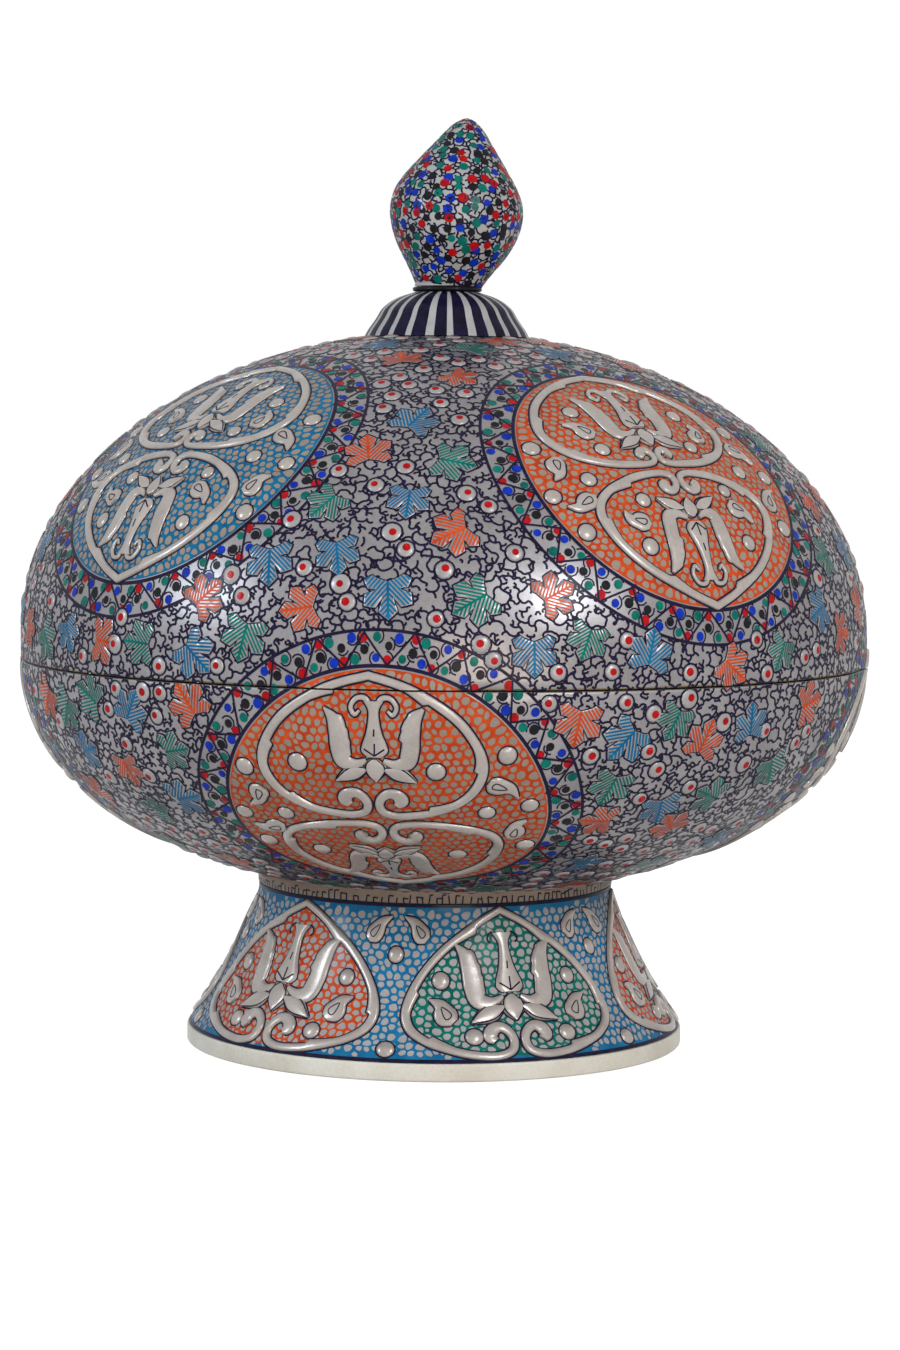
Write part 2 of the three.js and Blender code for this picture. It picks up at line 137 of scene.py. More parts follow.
def lacquer_tone_group() -> NodeTree:
    """Builds the group that varies a painted colour and its gloss the way hand work under lacquer does.

    Returns:
        The node group, with a colour, a roughness and a height.
    """
    group = bpy.data.node_groups.new("lacquer_tone", "ShaderNodeTree")
    for way, kind, names in TONE_SOCKETS:
        for name in names:
            group.interface.new_socket(name, in_out=way, socket_type=f"NodeSocket{kind}")
    nodes, links = group.nodes, group.links
    given = nodes.new("NodeGroupInput").outputs
    result = nodes.new("NodeGroupOutput").inputs
    place = nodes.new("ShaderNodeTexCoord").outputs["Object"]

    def noise(scale_name: str, detail: float) -> NodeSocket:
        """Adds a noise on object coordinates whose scale comes from a group input.

        Args:
            scale_name: The input's name.
            detail: How fine it is.

        Returns:
            What the noise puts out.
        """
        node = nodes.new("ShaderNodeTexNoise")
        node.inputs["Detail"].default_value = detail
        links.new(place, node.inputs["Vector"])
        links.new(given[scale_name], node.inputs["Scale"])
        return node.outputs["Fac"]

    patch, grain = noise("Patch Scale", PATCH_DETAIL), noise("Grain Scale", GRAIN_DETAIL)
    both = add_sum(group, "MULTIPLY_ADD", grain, GRAIN_SHARE, patch)
    spread = nodes.new("ShaderNodeMapRange")
    set_inputs(spread, {"From Min": DEEP_SHARES[0], "From Max": DEEP_SHARES[1]})
    links.new(both, spread.inputs["Value"])
    mix = nodes.new("ShaderNodeMix")
    mix.data_type = "RGBA"
    links.new(spread.outputs["Result"], mix.inputs["Factor"])
    links.new(given["Colour"], mix.inputs["A"])
    links.new(given["Deep Colour"], mix.inputs["B"])
    links.new(mix.outputs["Result"], result["Colour"])
    rough = add_sum(group, "MULTIPLY_ADD", patch, given["Roughness Spread"], given["Roughness"])
    links.new(rough, result["Roughness"])
    links.new(both, result["Height"])
    return group


@dataclass(frozen=True)
class Lacquer:
    """A painted and lacquered finish."""

    name: str
    slot: str
    colour: Colour
    deep: Colour  # the colour in its darker patches
    patch: float = 90.0  # patches in a metre
    grain: float = 900.0  # grains in a metre
    roughness: float = 0.34
    spread: float = 0.16  # how much the roughness varies
    metallic: float = 0.0
    coat: float = 0.1
    coat_roughness: float = 0.14
    bump: float = 0.00003  # how high the unevenness is, in metres

    def material(self) -> Material:
        """Gives this finish's material, made the first time it is asked for."""
        return bpy.data.materials.get(f"lacquered_{self.name}") or self._build()

    def _build(self) -> Material:
        """Builds the material.

        Returns:
            The material.
        """
        material = bpy.data.materials.new(f"lacquered_{self.name}")
        material.use_nodes = True
        nodes, links = material.node_tree.nodes, material.node_tree.links
        shader = nodes["Principled BSDF"]
        tone = nodes.new("ShaderNodeGroup")
        tone.node_tree = bpy.data.node_groups.get("lacquer_tone") or lacquer_tone_group()
        set_inputs(tone, {
            "Colour": (*self.colour, 1), "Deep Colour": (*self.deep, 1), "Patch Scale": self.patch,
            "Grain Scale": self.grain, "Roughness": self.roughness, "Roughness Spread": self.spread,
        })
        bump = nodes.new("ShaderNodeBump")
        set_inputs(bump, {"Strength": BUMP_SHARE, "Distance": self.bump})
        links.new(tone.outputs["Colour"], shader.inputs["Base Color"])
        links.new(tone.outputs["Roughness"], shader.inputs["Roughness"])
        links.new(tone.outputs["Height"], bump.inputs["Height"])
        links.new(bump.outputs["Normal"], shader.inputs["Normal"])
        set_inputs(shader, {
            "Metallic": self.metallic, "Specular IOR Level": SHEEN_LEVEL, "Coat Weight": self.coat,
            "Coat Roughness": self.coat_roughness,
        })
        material.diffuse_color = (*self.colour, 1)
        return material


SILVER_GROUND = Lacquer(
    "silver_ground", "body_ground", (0.31, 0.288, 0.29), (0.215, 0.2, 0.202), patch=60, metallic=0.45,
    roughness=0.26,
)
PEARL_SILVER = Lacquer(
    "pearl_silver", "body_ground", (0.38, 0.356, 0.35), (0.29, 0.272, 0.268), metallic=0.3, coat=0.3,
)
PEBBLE_CREAM = Lacquer("pebble_cream", "body_ground", (0.345, 0.275, 0.218), (0.27, 0.208, 0.16))
PEBBLE_SILVER = Lacquer("pebble_silver", "body_ground", (0.4, 0.38, 0.365), (0.315, 0.297, 0.284))
GESSO = Lacquer(
    "gesso", "gesso", (0.46, 0.41, 0.37), (0.355, 0.31, 0.277), patch=120, metallic=0.22, roughness=0.22,
    coat=0.4, bump=0.00006,
)
SEAM_GOLD = Lacquer("seam_gold", "gesso", (0.3, 0.23, 0.12), (0.19, 0.14, 0.06), patch=70)
HOOP_CREAM = Lacquer("hoop_cream", "cream_edge", (0.8, 0.76, 0.67), (0.66, 0.6, 0.49), patch=45)
INK = Lacquer("ink", "ink", (0.006, 0.004, 0.015), (0.018, 0.013, 0.045), patch=250, roughness=0.28)
ORANGE = Lacquer("orange", "orange_paint", (0.66, 0.085, 0.014), (0.42, 0.04, 0.008), patch=160)
TEAL = Lacquer("teal", "teal_paint", (0.003, 0.19, 0.145), (0.002, 0.09, 0.072), patch=160)
SKY = Lacquer("sky", "sky_paint", (0.006, 0.17, 0.33), (0.004, 0.09, 0.2), patch=160)
FOOT_SKY = Lacquer("foot_sky", "foot_ground", (0.012, 0.18, 0.36), (0.006, 0.11, 0.25), patch=160)
RED = Lacquer("red", "red_paint", (0.5, 0.008, 0.01), (0.3, 0.004, 0.005), patch=300)
BLUE = Lacquer("blue", "blue_paint", (0.006, 0.04, 0.46), (0.004, 0.02, 0.24), patch=300)
BLACK = Lacquer("black", "ink", (0.006, 0.006, 0.008), (0.016, 0.014, 0.018), patch=300)
LINING = Lacquer("lining", "dark_lining", (0.012, 0.01, 0.013), (0.022, 0.018, 0.024), roughness=0.3)
CAP_INK = Lacquer(
    "cap_ink", "ink", (0.003, 0.002, 0.009), (0.01, 0.008, 0.034), patch=180, grain=500, coat=0.14,
)
BUD_GROUND = Lacquer("bud_ground", "body_ground", (0.45, 0.435, 0.425), (0.36, 0.35, 0.34), coat=0.25)
RAW_PAPER = Lacquer(
    "raw_paper", "raw_paper", (0.34, 0.25, 0.15), (0.24, 0.17, 0.1), roughness=0.7, coat=0.0, bump=0.0003,
)
PEG_WOOD = Lacquer(
    "wood", "peg_wood", (0.45, 0.26, 0.11), (0.3, 0.16, 0.06), roughness=0.6, coat=0.0, bump=0.0001,
)


class Layer(Enum):
    """The layers of paint and plaster on the skin: a name and a finish."""

    VERMICELLI = ("vermicelli", INK)
    # Real ink outlines, and the ink rings round the leaves, which are painted shade
    OUTLINES = ("outlines", INK)
    PEBBLES = ("pebbles", PEBBLE_CREAM)
    SILVER_PEBBLES = ("silver_pebbles", PEBBLE_SILVER)
    ORANGE_FIELDS = ("orange_fields", ORANGE)
    SKY_FIELDS = ("sky_fields", SKY)
    TEAL_FIELDS = ("teal_fields", TEAL)
    PLASTER = ("plaster_motifs", GESSO)
    SCROLLS = ("scrolls", GESSO)
    LEAVES = ("leaves", SILVER_GROUND)
    PEARLS = ("pearls", PEARL_SILVER)
    ORANGE_LINES = ("orange_lines", ORANGE)
    TEAL_LINES = ("teal_lines", TEAL)
    SKY_LINES = ("sky_lines", SKY)
    RED_DOTS = ("red_dots", RED)
    BLUE_DOTS = ("blue_dots", BLUE)
    TEAL_DOTS = ("teal_dots", TEAL)
    BLACK_DOTS = ("black_dots", BLACK)

    @property
    def label(self) -> str:
        """The layer's name in its piece's name."""
        return self.value[0]

    @property
    def finish(self) -> Lacquer:
        """The layer's finish."""
        return self.value[1]


@dataclass(frozen=True)
class Lifts:
    """How far each painted layer stands off the skin, in millimetres."""

    field: float = 0.06
    vermicelli: float = 0.08
    pebble: float = 0.12
    dot: float = 0.13
    outline: float = 0.16
    on_top: float = 0.05
    sink: float = 0.3


LIFTS = Lifts()

# How high the plaster is: a frame's band, a pearl and a drop
SCROLL_RISE = 1.1
PEARL_RISE = 1.1
DROP_RISE = 1.0
PEARL_STEPS = 12
FIELD_SQUARE = 4.0
ROW_SHARE = 0.866  # how far apart staggered rows are, as a share of their pitch


# Forms


def smooth_line(points: Sequence[Sequence[float]], per_span: int = 6, closed: bool = False) -> Array:
    """Draws a smooth curve through points, which may carry widths as further values.

    Args:
        points: The points, each with its x, its y and anything else.
        per_span: How many steps there are from one point to the next.
        closed: Whether the curve comes back to its start.

    Returns:
        The curve's points.
    """
    given = np.asarray(points, float)
    if closed:
        line = np.vstack([given[-1], given, given[0], given[1]])
    else:
        line = np.vstack([2 * given[0] - given[1], given, 2 * given[-1] - given[-2]])
    curve = []
    for a, b, c, d in zip(line[:-3], line[1:-2], line[2:-1], line[3:]):
        t1, t12, t23 = (max(np.linalg.norm((q - p)[:2]), 1e-6) ** 0.5 for p, q in ((a, b), (b, c), (c, d)))
        t2, t3 = t1 + t12, t1 + t12 + t23
        for step in range(per_span):
            t = t1 + t12 * step / per_span
            ab = a + (b - a) * t / t1
            bc = b + (c - b) * (t - t1) / t12
            cd = c + (d - c) * (t - t2) / t23
            abc = ab + (bc - ab) * t / t2
            bcd = bc + (cd - bc) * (t - t1) / (t3 - t1)
            curve.append(abc + (bcd - abc) * (t - t1) / t12)
    if not closed:
        curve.append(given[-1])
    return np.array(curve)


class TurnedSkin:
    """The outside of a turned form. A place on it is an azimuth, 0 at the front, and a climb up it."""

    def __init__(self, radii: Array, heights: Array, zero_height: float, centre_x: float = 0.0) -> None:
        """Measures a profile that is listed from the bottom up.

        Args:
            radii: The profile's radii.
            heights: The profile's heights.
            zero_height: The height at which the climb is zero.
            centre_x: Where the form's axis stands.
        """
        self.radii = radii
        self.heights = heights
        self.centre_x = centre_x
        steps = np.hypot(np.diff(radii), np.diff(heights))
        climbs = np.concatenate([[0.0], np.cumsum(steps)])
        self.climbs = climbs - np.interp(zero_height, heights, climbs)
        self.out_radius = np.gradient(heights, self.climbs)
        self.out_height = -np.gradient(radii, self.climbs)
        mean_radii = np.maximum((radii[1:] + radii[:-1]) / 2, 1e-3)
        self.charts = np.concatenate([[0.0], np.cumsum(steps / mean_radii)])

    def radius(self, climb: Array | float) -> Array | float:
        """Gives the radius at a climb."""
        return np.interp(climb, self.climbs, self.radii)

    def height(self, climb: float) -> float:
        """Gives the height at a climb."""
        return float(np.interp(climb, self.climbs, self.heights))

    def climb_at(self, height: float) -> float:
        """Gives the climb at a height."""
        return float(np.interp(height, self.heights, self.climbs))

    def chart(self, climb: Array) -> Array:
        """Gives the height on a map of the form that keeps angles true, as a sea chart does."""
        return np.interp(climb, self.climbs, self.charts)

    def place(self, azimuth: Array, climb: Array, lift: Array | float) -> Array:
        """Gives points on or above the skin.

        Args:
            azimuth: The azimuths, in radians.
            climb: The climbs.
            lift: How far the points stand off the skin.

        Returns:
            The points, one row each.
        """
        radius = self.radius(climb) + lift * np.interp(climb, self.climbs, self.out_radius)
        height = np.interp(climb, self.climbs, self.heights)
        height = height + lift * np.interp(climb, self.climbs, self.out_height)
        return np.stack([self.centre_x + radius * np.sin(azimuth), -radius * np.cos(azimuth), height], axis=1)

    def spot(self, azimuth: float, climb: float) -> Array:
        """Gives one point on the skin."""
        return self.place(np.array([azimuth]), np.array([climb]), 0.0)[0]

    def wrap(self, azimuth: float = 0.0, radius: float = 1.0) -> Bend:
        """Gives the bend that winds a drawing round the skin, true at a radius, or at 1 across by azimuth."""
        return lambda flat: self.place(azimuth + flat[:, 0] / radius, flat[:, 1], flat[:, 2])


@dataclass(frozen=True)
class BodyForm:
    """The closed body: an elliptical lid above the widest level, and a squarer bowl below it."""

    radius: float = 151.0
    widest: float = 147.0
    lid_rise: float = 107.4
    bowl_drop: float = 92.2
    lid_fullness: float = 2.0
    bowl_fullness: float = 2.56
    wall: float = 5.0
    samples: int = 2400
    rounds: int = 8  # how often the compass corrects its dip

    def reach(self, side: int) -> tuple[float, float]:
        """Gives the reach and the fullness of the lid, side 1, or the bowl, side -1."""
        return (self.lid_rise, self.lid_fullness) if side > 0 else (self.bowl_drop, self.bowl_fullness)

    def radius_at(self, height: float, inset: float = 0.0) -> float:
        """Gives the radius at a height, on the skin or a wall's depth inside it."""
        reach, fullness = self.reach(1 if height > self.widest else -1)
        share = abs(height - self.widest) / (reach - inset)
        return (self.radius - inset) * math.sqrt(max(1 - share**fullness, 0))

    def height_at(self, radius: float, side: int, inset: float = 0.0) -> float:
        """Gives the lid's or the bowl's height at a radius, on the skin or a wall's depth inside it."""
        reach, fullness = self.reach(side)
        share = (1 - (radius / (self.radius - inset)) ** 2) ** (1 / fullness)
        return self.widest + side * (reach - inset) * share

    def profile(self, low: float, high: float, inset: float, steps: int) -> list[tuple[float, float]]:
        """Gives radii and heights from one height up to another, closest where the profile curves most.

        Args:
            low: The lowest height.
            high: The highest height.
            inset: How far inside the skin the profile runs.
            steps: How many steps it has.

        Returns:
            The profile's points.
        """
        points = []
        for step in range(steps + 1):
            height = low + (high - low) * math.sin(math.pi / 2 * step / steps)
            points.append((self.radius_at(height, inset), height))
        return points

    def gradient(self, points: Array) -> tuple[Array, Array]:
        """Gives the skin equation's value and its gradient at points.

        Args:
            points: The points, one row each.

        Returns:
            The values, which are zero on the skin, and the gradients.
        """
        away = points[:, 2] - self.widest
        above = away > 0
        reach = np.where(above, self.lid_rise, self.bowl_drop)
        fullness = np.where(above, self.lid_fullness, self.bowl_fullness)
        share = np.abs(away) / reach
        value = (points[:, 0] ** 2 + points[:, 1] ** 2) / self.radius**2 + share**fullness - 1
        slope_z = np.sign(away) * fullness * share ** (fullness - 1) / reach
        slope = np.column_stack([2 * points[:, :2] / self.radius**2, slope_z])
        return value, slope

    def skin(self, seam: float) -> TurnedSkin:
        """Gives the whole outside as a turned skin whose climb is zero at the seam.

        Args:
            seam: The seam's height.

        Returns:
            The skin.
        """
        angles = np.linspace(0, math.pi / 2, self.samples)
        low_heights = self.widest - self.bowl_drop * np.sin(angles) ** (2 / self.bowl_fullness)
        high_heights = self.widest + self.lid_rise * np.sin(angles) ** (2 / self.lid_fullness)
        radii = self.radius * np.cos(angles)
        heights = np.concatenate([low_heights[::-1], high_heights[1:]])
        return TurnedSkin(np.concatenate([radii[::-1], radii[1:]]), heights, seam)

    def centre(self, azimuth: float, height: float) -> Array:
        """Gives the point on the skin at an azimuth and a height."""
        radius = self.radius_at(height)
        return np.array([radius * math.sin(azimuth), -radius * math.cos(azimuth), height])

    def compass(self, azimuth: float, height: float) -> Bend:
        """Gives the bend that keeps every distance from one point on the skin, as a compass does.

        Args:
            azimuth: The point's azimuth, in radians.
            height: The point's height.

        Returns:
            The bend, for drawings in millimetres about that point.
        """
        centre = self.centre(azimuth, height)
        outward = self.gradient(centre[None])[1][0]
        outward /= np.linalg.norm(outward)
        right = np.array([math.cos(azimuth), math.sin(azimuth), 0.0])
        upward = np.cross(outward, right)

        def bend(flat: Array) -> Array:
            """Bends the flat points.

            Args:
                flat: The points.

            Returns:
                The bent points.
            """
            reach = np.maximum(np.hypot(flat[:, 0], flat[:, 1]), 1e-6)[:, None]
            heading = (flat[:, :1] * right + flat[:, 1:2] * upward) / reach
            dip = np.zeros_like(reach)
            for _ in range(self.rounds):
                points = centre + reach * (np.cos(dip) * heading - np.sin(dip) * outward)
                travel = reach * (-np.sin(dip) * heading - np.cos(dip) * outward)
                value, slope = self.gradient(points)
                dip -= (value / np.sum(slope * travel, axis=1))[:, None]
            points = centre + reach * (np.cos(dip) * heading - np.sin(dip) * outward)
            slope = self.gradient(points)[1]
            return points + slope / np.linalg.norm(slope, axis=1)[:, None] * flat[:, 2:3]

        return bend


# Drawing


def everything(bm: BMesh) -> list:
    """Gives all of a mesh's points, edges and faces."""
    return [*bm.verts, *bm.edges, *bm.faces]


def of_kind(items: Sequence, kind: type) -> list:
    """Gives the items of one kind, out of an operator's result."""
    return [item for item in items if isinstance(item, kind)]


def as_mesh(bm: BMesh, name: str) -> Mesh:
    """Turns a drawn mesh into data that can be stamped or shown, and lets go of it.

    Args:
        bm: The drawn mesh.
        name: The data's name.

    Returns:
        The data.
    """
    mesh = bpy.data.meshes.new(name)
    bm.to_mesh(mesh)
    bm.free()
    return mesh


def circle(radius: float, steps: int, x: float = 0.0, y: float = 0.0) -> Array:
    """Gives the points of a circle."""
    turns = np.arange(steps) * FULL_TURN / steps
    return np.stack([x + radius * np.cos(turns), y + radius * np.sin(turns)], axis=1)


# A pearl's outline: across as a share of its radius, up as a share of its height
DOME_SHARES = ((0, 1), (0.42, 0.93), (0.78, 0.66), (0.97, 0.25), (1, -0.3))


def join_up(bm: BMesh, verts: list[BMVert], closed: bool = False) -> list[BMEdge]:
    """Joins points in a row with edges, and the last to the first where the row is closed."""
    return [bm.edges.new(pair) for pair in zip(verts, verts[1:] + verts[:1] if closed else verts[1:])]


def spin_row(bm: BMesh, verts: list[BMVert], steps: int, closed: bool = False) -> None:
    """Joins points in a row and turns them once about the upright axis.

    Args:
        bm: The mesh.
        verts: The points.
        steps: How many steps go round.
        closed: Whether the last point is joined to the first.
    """
    row = verts + join_up(bm, verts, closed)
    bmesh.ops.spin(
        bm, geom=row, cent=(0, 0, 0), axis=(0, 0, 1), angle=FULL_TURN, steps=steps, use_merge=True,
    )
    bmesh.ops.remove_doubles(bm, verts=bm.verts, dist=SAME_PLACE)


@cache
def pearl_pattern() -> Mesh:
    """Makes the pearl that is stamped wherever one is needed, 1 wide and 1 high.

    Returns:
        The pattern.
    """
    bm = bmesh.new()
    spin_row(bm, [bm.verts.new((across, 0, up)) for across, up in DOME_SHARES], PEARL_STEPS)
    bmesh.ops.contextual_create(bm, geom=[edge for edge in bm.edges if edge.is_boundary])
    bmesh.ops.recalc_face_normals(bm, faces=bm.faces)
    return as_mesh(bm, "pearl_pattern")


def move_points(verts: list[BMVert], move: Bend) -> None:
    """Moves points by a function of their places."""
    if verts:
        for vert, place in zip(verts, move(np.array([vert.co for vert in verts]))):
            vert.co = place


def stamp(bm: BMesh, pattern: Mesh, move: Bend) -> None:
    """Adds a copy of a pattern to a mesh, moved by a function of the pattern's points.

    Args:
        bm: The mesh.
        pattern: The pattern.
        move: The function.
    """
    first = len(bm.verts)
    bm.from_mesh(pattern)
    bm.verts.ensure_lookup_table()
    move_points(bm.verts[first:], move)


def in_steps(points: Sequence[Sequence[float]], step: float = 1.6) -> Array:
    """Gives a straight line's points close enough together for the line to follow a curved skin."""
    start, end = np.array(points[0], float), np.array(points[1], float)
    count = max(math.ceil(np.linalg.norm(end - start) / step), 1)
    return start + (end - start) * np.linspace(0, 1, count + 1)[:, None]


def take_in(bm: BMesh, other: BMesh) -> None:
    """Adds another mesh to one and lets go of it."""
    passing = as_mesh(other, "passing")
    bm.from_mesh(passing)
    bpy.data.meshes.remove(passing)


def right_hand(line: Array, closed: bool, spread: float | Array = 1.0) -> Array:
    """Gives the unit direction to the right of a line at each of its points.

    Args:
        line: The line's points.
        closed: Whether it comes back to its start.
        spread: How many millimetres one unit across is, where across is an azimuth.

    Returns:
        The directions, in the drawing's own units.
    """
    along = line[:, :2] * np.stack([np.ones(len(line)) * spread, np.ones(len(line))], axis=1)
    if closed:
        run = np.roll(along, -1, axis=0) - np.roll(along, 1, axis=0)
    else:
        run = np.gradient(along, axis=0)
    run /= np.maximum(np.linalg.norm(run, axis=1), 1e-9)[:, None]
    return np.stack([run[:, 1] / spread, -run[:, 0]], axis=1)


class Sheet:
    """What one finish puts on a flat drawing: painted lines, raised lines, and plain or domed shapes."""

    # Across as a share of a raised line's half width, and up as a share of its height, round its section
    RIDGE_SHARES = (
        (-1, -0.3), (-1, 0.3), (-0.86, 0.78), (-0.55, 1), (0.55, 1), (0.86, 0.78), (1, 0.3), (1, -0.3),
    )

    def __init__(self) -> None:
        """Starts an empty sheet."""
        self.shapes = bmesh.new()
        self.lines = bmesh.new()
        self.line_sides = self.lines.verts.layers.float_vector.new("side")
        self.ridges = bmesh.new()
        self.ridge_sides = self.ridges.verts.layers.float_vector.new("side")
        self.ridge_middles = self.ridges.verts.layers.float_vector.new("middle")

    def line(
        self, points: Array, width: float | Array, lift: float, closed: bool = False, spread: float = 1.0,
    ) -> None:
        """Paints a line. Its spread is how many millimetres one unit across is."""
        sides = right_hand(points, closed, spread) * (np.ones(len(points)) * width)[:, None] / 2
        self._thread(points[:, :2], sides, lift, closed)

    def strokes(self, lines: Array, width: float, lift: float, spread: Array) -> None:
        """Paints many short lines that have equally many points.

        Args:
            lines: The lines' points, whose across is an azimuth.
            width: Their width.
            lift: How far they stand off the skin.
            spread: How many millimetres one unit across is, for each line.
        """
        run = np.gradient(np.stack([lines[..., 0] * spread[:, None], lines[..., 1]], axis=-1), axis=1)
        run /= np.maximum(np.linalg.norm(run, axis=-1), 1e-6)[..., None]
        sides = np.stack([run[..., 1] / spread[:, None], -run[..., 0]], axis=-1) * width / 2
        for points, aside in zip(lines, sides):
            self._thread(points, aside, lift, False)

    def _thread(self, points: Array, sides: Array, lift: float, closed: bool) -> None:
        """Lays a painted line's points, each with half its width to the right.

        Args:
            points: The points.
            sides: The way to the right edge from each.
            lift: How far it stands off the skin.
            closed: Whether it comes back to its start.
        """
        verts = []
        for (x, y), (side_x, side_y) in zip(points.tolist(), sides.tolist()):
            verts.append(self.lines.verts.new((x, y, lift)))
            verts[-1][self.line_sides] = (side_x, side_y, 0)
        join_up(self.lines, verts, closed)

    def ridge(self, points: Array, left: Array, right: Array, height: float) -> None:
        """Lays a raised line of plaster.

        Args:
            points: The points of the line.
            left: How far it reaches to the left of each point.
            right: How far it reaches to the right of each point.
            height: Its height.
        """
        hand = right_hand(points, False)
        middles = points[:, :2] + hand * ((right - left) / 2)[:, None]
        sides = hand * ((right + left) / 2)[:, None]
        verts = []
        for (x, y), (side_x, side_y) in zip(middles, sides):
            vert = self.ridges.verts.new((x, y, 0))
            vert[self.ridge_sides] = (side_x, side_y, height)
            vert[self.ridge_middles] = (x, y, 0)
            verts.append(vert)
        join_up(self.ridges, verts)

    def dot(self, x: float, y: float, radius: float, lift: float, sides: int = 10) -> None:
        """Paints a round dot."""
        place = Matrix.Translation((x, y, lift))
        bmesh.ops.create_circle(self.shapes, cap_ends=True, segments=sides, radius=radius, matrix=place)

    def pearl(self, x: float, y: float, radius: float, height: float) -> None:
        """Lays a pearl of plaster."""
        stamp(self.shapes, pearl_pattern(), lambda unit: unit * (radius, radius, height) + (x, y, 0))

    def cell(self, corners: Array, lift: float) -> None:
        """Paints a small patch with straight sides."""
        self.shapes.faces.new([self.shapes.verts.new((x, y, lift)) for x, y in corners])

    def field(self, outline: Array, lift: float, pitch: float) -> None:
        """Paints an area, cut into squares so that it can bend.

        Args:
            outline: The area's outline.
            lift: How far it stands off the skin.
            pitch: The size of the squares.
        """
        area = bmesh.new()
        area.faces.new([area.verts.new((x, y, lift)) for x, y in outline])
        cut_in_squares(area, pitch)
        take_in(self.shapes, area)

    def flat(self) -> BMesh:
        """Widens the lines, builds the raised lines, and gives everything as one flat mesh.

        Returns:
            The mesh.
        """
        self._widen_lines()
        for face in self.shapes.faces:
            face.normal_update()
        self._build_ridges()
        take_in(self.shapes, self.lines)
        take_in(self.shapes, self.ridges)
        return self.shapes

    def bent(self, bend: Bend) -> BMesh:
        """Gives everything as one mesh, bent onto a skin."""
        bm = self.flat()
        move_points(list(bm.verts), bend)
        return bm

    def _widen_lines(self) -> None:
        """Turns the painted lines into ribbons."""
        old = list(self.lines.verts)
        if not old:
            return
        result = bmesh.ops.extrude_edge_only(self.lines, edges=list(self.lines.edges))
        for vert in of_kind(result["geom"], BMVert):
            vert.co += vert[self.line_sides]
        for vert in old:
            vert.co -= vert[self.line_sides]
        for face in self.lines.faces:
            face.normal_update()
            if face.normal.z < 0:
                face.normal_flip()

    def _build_ridges(self) -> None:
        """Turns the raised lines into closed solids."""
        edges = list(self.ridges.edges)
        if not edges:
            return
        self._set_ridge(list(self.ridges.verts), *self.RIDGE_SHARES[0])
        for across, up in (*self.RIDGE_SHARES[1:], self.RIDGE_SHARES[0]):
            result = bmesh.ops.extrude_edge_only(self.ridges, edges=edges)["geom"]
            edges = of_kind(result, BMEdge)
            self._set_ridge(of_kind(result, BMVert), across, up)
        bmesh.ops.remove_doubles(self.ridges, verts=self.ridges.verts, dist=SAME_PLACE)
        ends = [edge for edge in self.ridges.edges if edge.is_boundary]
        bmesh.ops.holes_fill(self.ridges, edges=ends, sides=0)
        bmesh.ops.recalc_face_normals(self.ridges, faces=self.ridges.faces)

    def _set_ridge(self, verts: Sequence[BMVert], across: float, up: float) -> None:
        """Puts one line of a raised line's section in its place.

        Args:
            verts: The line's points.
            across: Its share of the half width.
            up: Its share of the height.
        """
        for vert in verts:
            side = vert[self.ridge_sides]
            lift = up * side.z if up > 0 else -LIFTS.sink
            vert.co = vert[self.ridge_middles] + Vector((side.x * across, side.y * across, lift))


def cut_in_squares(bm: BMesh, pitch: float) -> None:
    """Cuts a flat mesh along a square grid, so that it can bend.

    Args:
        bm: The mesh.
        pitch: The size of the squares.
    """
    for axis in (0, 1):
        low = min(vert.co[axis] for vert in bm.verts)
        high = max(vert.co[axis] for vert in bm.verts)
        normal = Vector((1, 0, 0)) if axis == 0 else Vector((0, 1, 0))
        for step in range(1, math.ceil((high - low) / pitch)):
            place = normal * (low + step * pitch)
            bmesh.ops.bisect_plane(bm, geom=everything(bm), plane_co=place, plane_no=normal)


# The painted and raised layers of the body or the foot: a mesh for each, until its pieces are made
Coat = defaultdict[Layer, BMesh]


